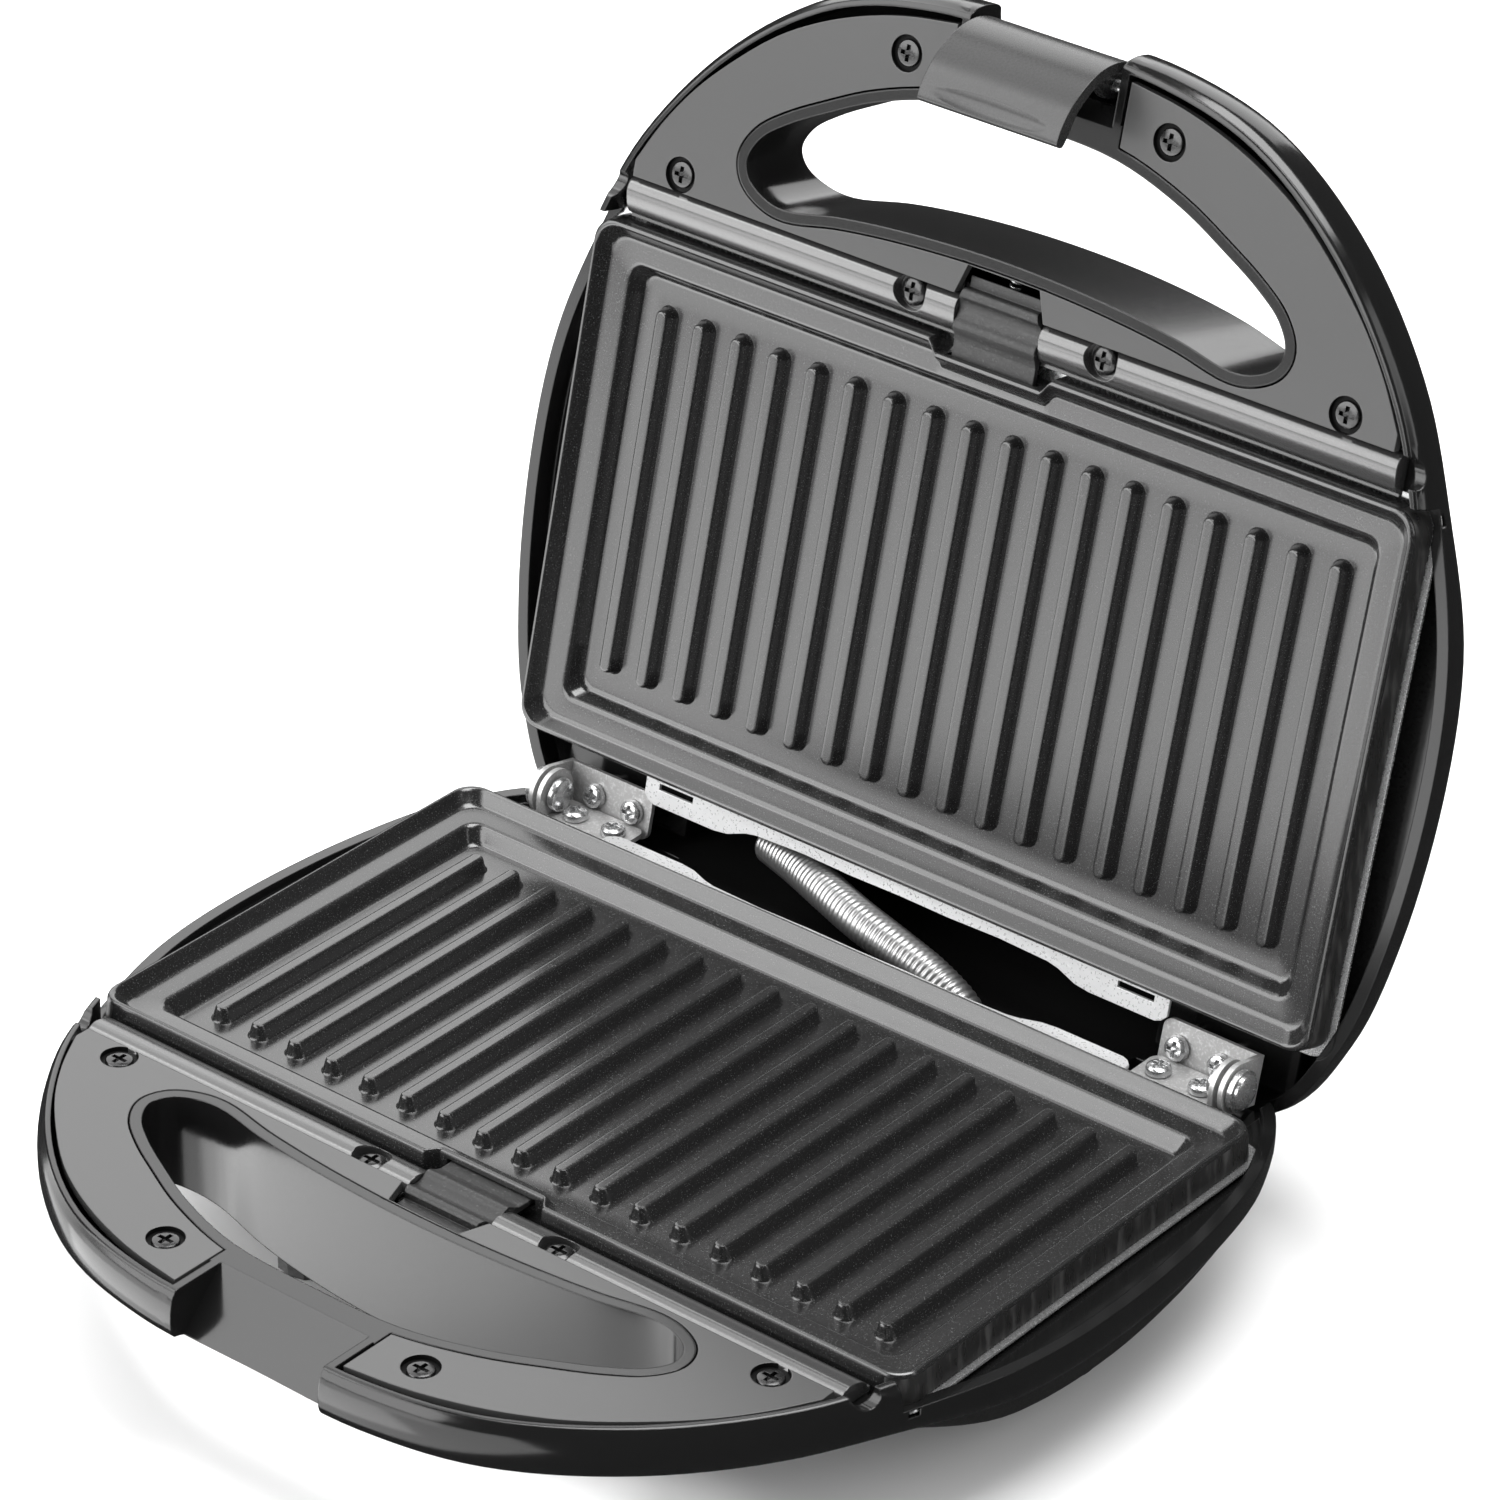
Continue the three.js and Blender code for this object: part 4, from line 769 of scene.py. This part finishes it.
def place_half(half, bracket_z, axis_z, ear_x):
    """The pieces that the base and the lid both have."""
    def put(name, solid, slot, material, body=half, **more):
        return place(f"{half}_{name}_look", solid, half, body, [f"{half}_{name}"], slot, material, **more)

    # The screw wells round the panel screws get near-black painted shade.
    put("handle_panel", PANEL, "satin_grey", satin_grey, also=(screw_well_painted_shade, in_screw_well))
    # The rail takes the lightened copy of gloss black, as painted light.
    put("rail", RAIL_SOLID, "gloss_black", rail_painted_light)
    put("release_clip", CLIP, "matte_black", clip_black, body=f"{half}_clip")
    put("grill_plate", GRILL, "non_stick", coating, also=(bare_casting, on_skirt))
    put("heat_shield", SHIELD, "bright_aluminium", shield_sheet)
    put("heating_element", heating_element(), "heater_steel", heater_steel)
    put("plate_retainer", plate_retainer(), "bright_aluminium", bright_sheet)
    clip_spring = coil((0, -35.4, -5.9), (0, -30.3, -5.9), 1.3, 0.25, 4)
    spring = put("clip_spring", clip_spring, "bright_steel", bright_steel)
    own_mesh(spring)
    for i, (x, y) in enumerate(PANEL_SCREWS):
        screw = cross_head_screw(x, y, RIM_Z - GAP, *PANEL_SCREW)
        put(f"panel_screw_{i + 1}", screw, "dark_steel", dark_steel)
    for i, x in enumerate(RAIL_SCREWS_X):
        screw = cross_head_screw(x, RAIL_Y, RAIL_Z + 2.2, *RAIL_SCREW)
        put(f"rail_screw_{i + 1}", screw, "dark_steel", dark_steel)
    for word, side in (("left", -1), ("right", 1)):
        put(f"hinge_bracket_{word}", bracket(side, bracket_z, axis_z, ear_x), "bright_steel", bracket_steel)
        for i, x in enumerate(BRACKET_SCREWS_X):
            screw = cross_head_screw(side * x, HINGE_Y, bracket_z + GAP + 2, *HINGE_SCREW)
            put(f"hinge_screw_{word}_{i + 1}", screw, "bright_steel", bright_steel)


PANEL, RAIL_SOLID, CLIP, GRILL, SHIELD = handle_panel(), rail(), release_clip(), grill_plate(), heat_shield()
place_half("base", BASE_BRACKET_Z, HINGE_Z, BASE_EAR_X)
place_half("lid", LID_BRACKET_Z, -HINGE_Z, LID_EAR_X)

# ---- Base ----
shell = hollow_housing()
CONDUIT_PATH = [[-44, 136.2, -3.6], [-33, 131.6, -2.6], [-20, 126, -2], [-7, 121.4, -2.4], [6.5, 118.8, -4],
                [18, 117.2, -6.4], [27, 116, -10.4], [31, 115.3, -15.5], [31.4, 115.2, -22]]
conduit_hole = post(CONDUIT_PATH[-1][0] - 2.4, CONDUIT_PATH[-1][1], -30, -10, 6.4)
open_base = cut(shell, box(-REAR_GAP_HALF, REAR_GAP_HALF, REAR_DROP_Y, FAR, BASE_REAR_TOP_Z, 20))
base_housing = cut(join(cut(open_base, box(-FAR, FAR, COVER_FRONT_Y, FAR, -80, COVER_TOP_Z)), shelf(),
                        *side_decks(), *hinge_seats(BASE_BRACKET_Z - BRACKET_THICK - GAP)),
                   *handle_bores(), *hinge_bores(), conduit_hole)
place("base_housing_look", base_housing, "base", "base", ["base_housing"], "gloss_black", gloss_black)

rear_shelf = within(box(-REAR_GAP_HALF, REAR_GAP_HALF, REAR_DROP_Y + 0.6, 140,
                        BASE_REAR_TOP_Z - 2, BASE_REAR_TOP_Z), outer)
VENT_COUNT, VENT_PITCH, VENT_FRONT, VENT_WIDTH = 7, 8, 20, 2.5
vent_fronts = [VENT_FRONT + VENT_PITCH * i for i in range(VENT_COUNT)]
vents = together(*[box(-40, 40, y, y + VENT_WIDTH, BELOW_SHELL_Z, -30) for y in vent_fronts])
CORD_X, CORD_Z, CORD_BORE = 62, -27, 6.3
cord_hole = pin_y(CORD_X, 100, 150, CORD_Z, CORD_BORE)
cover_space = box(-200, 200, COVER_FRONT_Y + GAP, FAR, -80, COVER_TOP_Z - GAP)
cover = cut(within(join(open_base, rear_shelf), cover_space), cord_hole, conduit_hole, vents)
side_bosses = [cut(post(side * 99, 57, -40.5, -24, 8.5, 48), hollow) for side in (-1, 1)]
bottom_cover = join(cover, *side_bosses)
place("bottom_cover_look", bottom_cover, "base", "base", ["bottom_cover"], "matte_black", cover_black)
for word, side in (("left", -1), ("right", 1)):
    place(f"hinge_rivet_{word}_look", hinge_rivet(side), "base", "base", [f"hinge_rivet_{word}"],
          "bright_steel", bright_steel)

# ---- Lid ----
clearance = [box(x0, x1, REAR_DROP_Y - 5, FAR, -9, 20)
             for x0, x1 in ((-REAR_GAP_HALF, -66), (66, REAR_GAP_HALF))]
rear_wall = within(box(-66, 66, 122, 140, SIDE_RIM_Z - 0.5, -1), cut(outer, hollow))
pocket = box(-LATCH_HALF_WIDTH, LATCH_HALF_WIDTH, -100, -79.6, -11.5, -3.4)
LENS_X, LENS_BORE = 13, 4.3
lens_holes = [post(x, 0, BELOW_SHELL_Z, -30, LENS_BORE) for x in (-LENS_X, LENS_X)]
pin_hole = pin_x(-NOTCH_HALF_WIDTH - 1.4, NOTCH_HALF_WIDTH + 1.4, LATCH_Y, LATCH_Z, PIN_BORE)
lid_housing = cut(join(cut(shell, *clearance), rear_wall, shelf(),
                       *hinge_seats(LID_BRACKET_Z - BRACKET_THICK - GAP)),
                  *handle_bores(), *hinge_bores(), pocket, *lens_holes, pin_hole)
place("lid_housing_look", lid_housing, "lid", "lid", ["lid_housing"], "gloss_black", gloss_black)
place("latch_look", latch(), "lid", "latch", ["latch"], "gloss_black", latch_black)
latch_pin = pin_x(-NOTCH_HALF_WIDTH - 1, NOTCH_HALF_WIDTH + 1, LATCH_Y, LATCH_Z, PIN_RADIUS)
place("latch_pin_look", latch_pin, "lid", "lid", ["latch_pin"], "bright_steel", bright_steel)
latch_spring = coil((-5, LATCH_Y, LATCH_Z), (5, LATCH_Y, LATCH_Z), 2.4, 0.35, 6)
place("latch_spring_look", latch_spring, "lid", "lid", ["latch_spring"], "bright_steel", bright_steel)

# ---- Conduit: a closely wound steel sleeve ----
WINDING_PITCH, WINDING_DEPTH, SLEEVE_RADIUS = 1.5, 0.26, 4.62
conduit_path = catmull(CONDUIT_PATH, 80, closed=False)
run = np.concatenate([[0], np.cumsum(np.linalg.norm(np.diff(conduit_path, axis=0), axis=1))])
sleeve_radii = SLEEVE_RADIUS + WINDING_DEPTH * np.abs(np.sin(run * math.pi / WINDING_PITCH))
conduit = tube(conduit_path, sleeve_radii, 28)
place("wire_conduit_look", conduit, "base", (CONDUIT_PATH[4], CONDUIT_PATH[0]), ["wire_conduit"],
      "bright_steel", winding_steel, sharp_deg=70)

# ---- CAD nodes shown as they are ----
for names, material in (
        (["foot_front_left", "foot_front_right", "foot_rear_left", "foot_rear_right"], rubber),
        (["cord_inlet_bush"], rubber),
        (["terminal_block", "thermal_fuse", "thermostat"], ceramic),
        (["power_lens"], lens_red),
        (["ready_lens"], lens_green)):
    for name in names:
        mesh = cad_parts[name].data
        mesh.materials.clear()
        mesh.materials.append(material)
        mesh.polygons.foreach_set("use_smooth", [True] * len(mesh.polygons))
        mesh.set_sharp_from_angle(angle=math.radians(40))

# ---- Floor, light, camera ----
def floor_plane(size, shade):
    """A matte square just below the feet, unseen in reflections."""
    mesh = bpy.data.meshes.new("floor")
    s = size / 2
    mesh.from_pydata([(-s, -s, 0), (s, -s, 0), (s, s, 0), (-s, s, 0)], [], [(0, 1, 2, 3)])
    mesh.materials.append(node_material("floor", (shade,) * 3, 0.9)[0])
    floor = bpy.data.objects.new("floor", mesh)
    floor.location.z = -0.0002
    floor.visible_glossy = False
    bpy.context.scene.collection.objects.link(floor)


def soft_light(name, azimuth, elevation, distance, size, radiance):
    """A soft box seen from the object at an azimuth (0 is behind it, +Y) and elevation in degrees."""
    a, e = math.radians(azimuth), math.radians(elevation)
    direction = Vector((math.sin(a) * math.cos(e), math.cos(a) * math.cos(e), math.sin(e)))
    light = bpy.data.lights.new(name, "AREA")
    light.shape = "RECTANGLE"
    light.size, light.size_y = size
    light.energy = radiance * math.pi * size[0] * size[1]
    lamp = bpy.data.objects.new(name, light)
    lamp.location = direction * distance + Vector((0, 0, 0.1))
    lamp.rotation_euler = (-direction).to_track_quat("-Z", "Y").to_euler()
    bpy.context.scene.collection.objects.link(lamp)


floor_plane(14, 0.86)
soft_light("back_card", -38, 31, 2.4, (2.8, 1.5), 2.6)
soft_light("front_left_low", -147, -5, 2.2, (2.6, 0.8), 0.9)
soft_light("front_left_card", -147, 20, 2.2, (2.6, 1.3), 4.6)
soft_light("left_card", -133, 46, 2.0, (1.2, 0.7), 4.5)
soft_light("left_top_card", -92, 55, 1.9, (1.4, 0.8), 2.2)
soft_light("under_card", -146, -24, 1.0, (2.9, 0.8), 2.3)
soft_light("under_core", -138, -27, 0.95, (1.0, 0.34), 2.2)
soft_light("overhead", 20, 78, 1.8, (1.4, 1.0), 9.0)
soft_light("right_strip", 75, 25, 2.0, (0.35, 1.6), 2.0)

# The room is bright to look at and to be lit by, but nearly dark in reflections.
ROOM_LEVEL, MIRRORED_ROOM_LEVEL = 0.8, 0.05
world = bpy.data.worlds.new("studio")
world.use_nodes = True
sky = world.node_tree.nodes["Background"]
sky.inputs["Color"].default_value = (0.9, 0.9, 0.9, 1)
paths = world.node_tree.nodes.new("ShaderNodeLightPath")
level = world.node_tree.nodes.new("ShaderNodeMapRange")
level.inputs["To Min"].default_value = ROOM_LEVEL
level.inputs["To Max"].default_value = MIRRORED_ROOM_LEVEL
world.node_tree.links.new(paths.outputs["Is Glossy Ray"], level.inputs["Value"])
world.node_tree.links.new(level.outputs["Result"], sky.inputs["Strength"])
bpy.context.scene.world = world
bpy.context.scene.view_settings.view_transform = "Standard"

LENS_MM, SENSOR_MM = 152.48, 36
CAMERA_PLACE = Vector((736.21, -866.64, 750.19)) + HALF_TO_ROW
CAMERA_TILT, CAMERA_ROLL, CAMERA_HEADING = 60.1531, -1.2981, 38.8872    # degrees
camera_data = bpy.data.cameras.new("camera")
camera_data.lens = LENS_MM
camera_data.sensor_width = SENSOR_MM
camera_data.clip_end = 50
camera = bpy.data.objects.new("camera", camera_data)
turn = Euler([math.radians(angle) for angle in (CAMERA_TILT, CAMERA_ROLL, CAMERA_HEADING)])
camera.matrix_world = Matrix.Translation(CAMERA_PLACE * MM) @ turn.to_matrix().to_4x4()
bpy.context.scene.collection.objects.link(camera)
bpy.context.scene.camera = camera
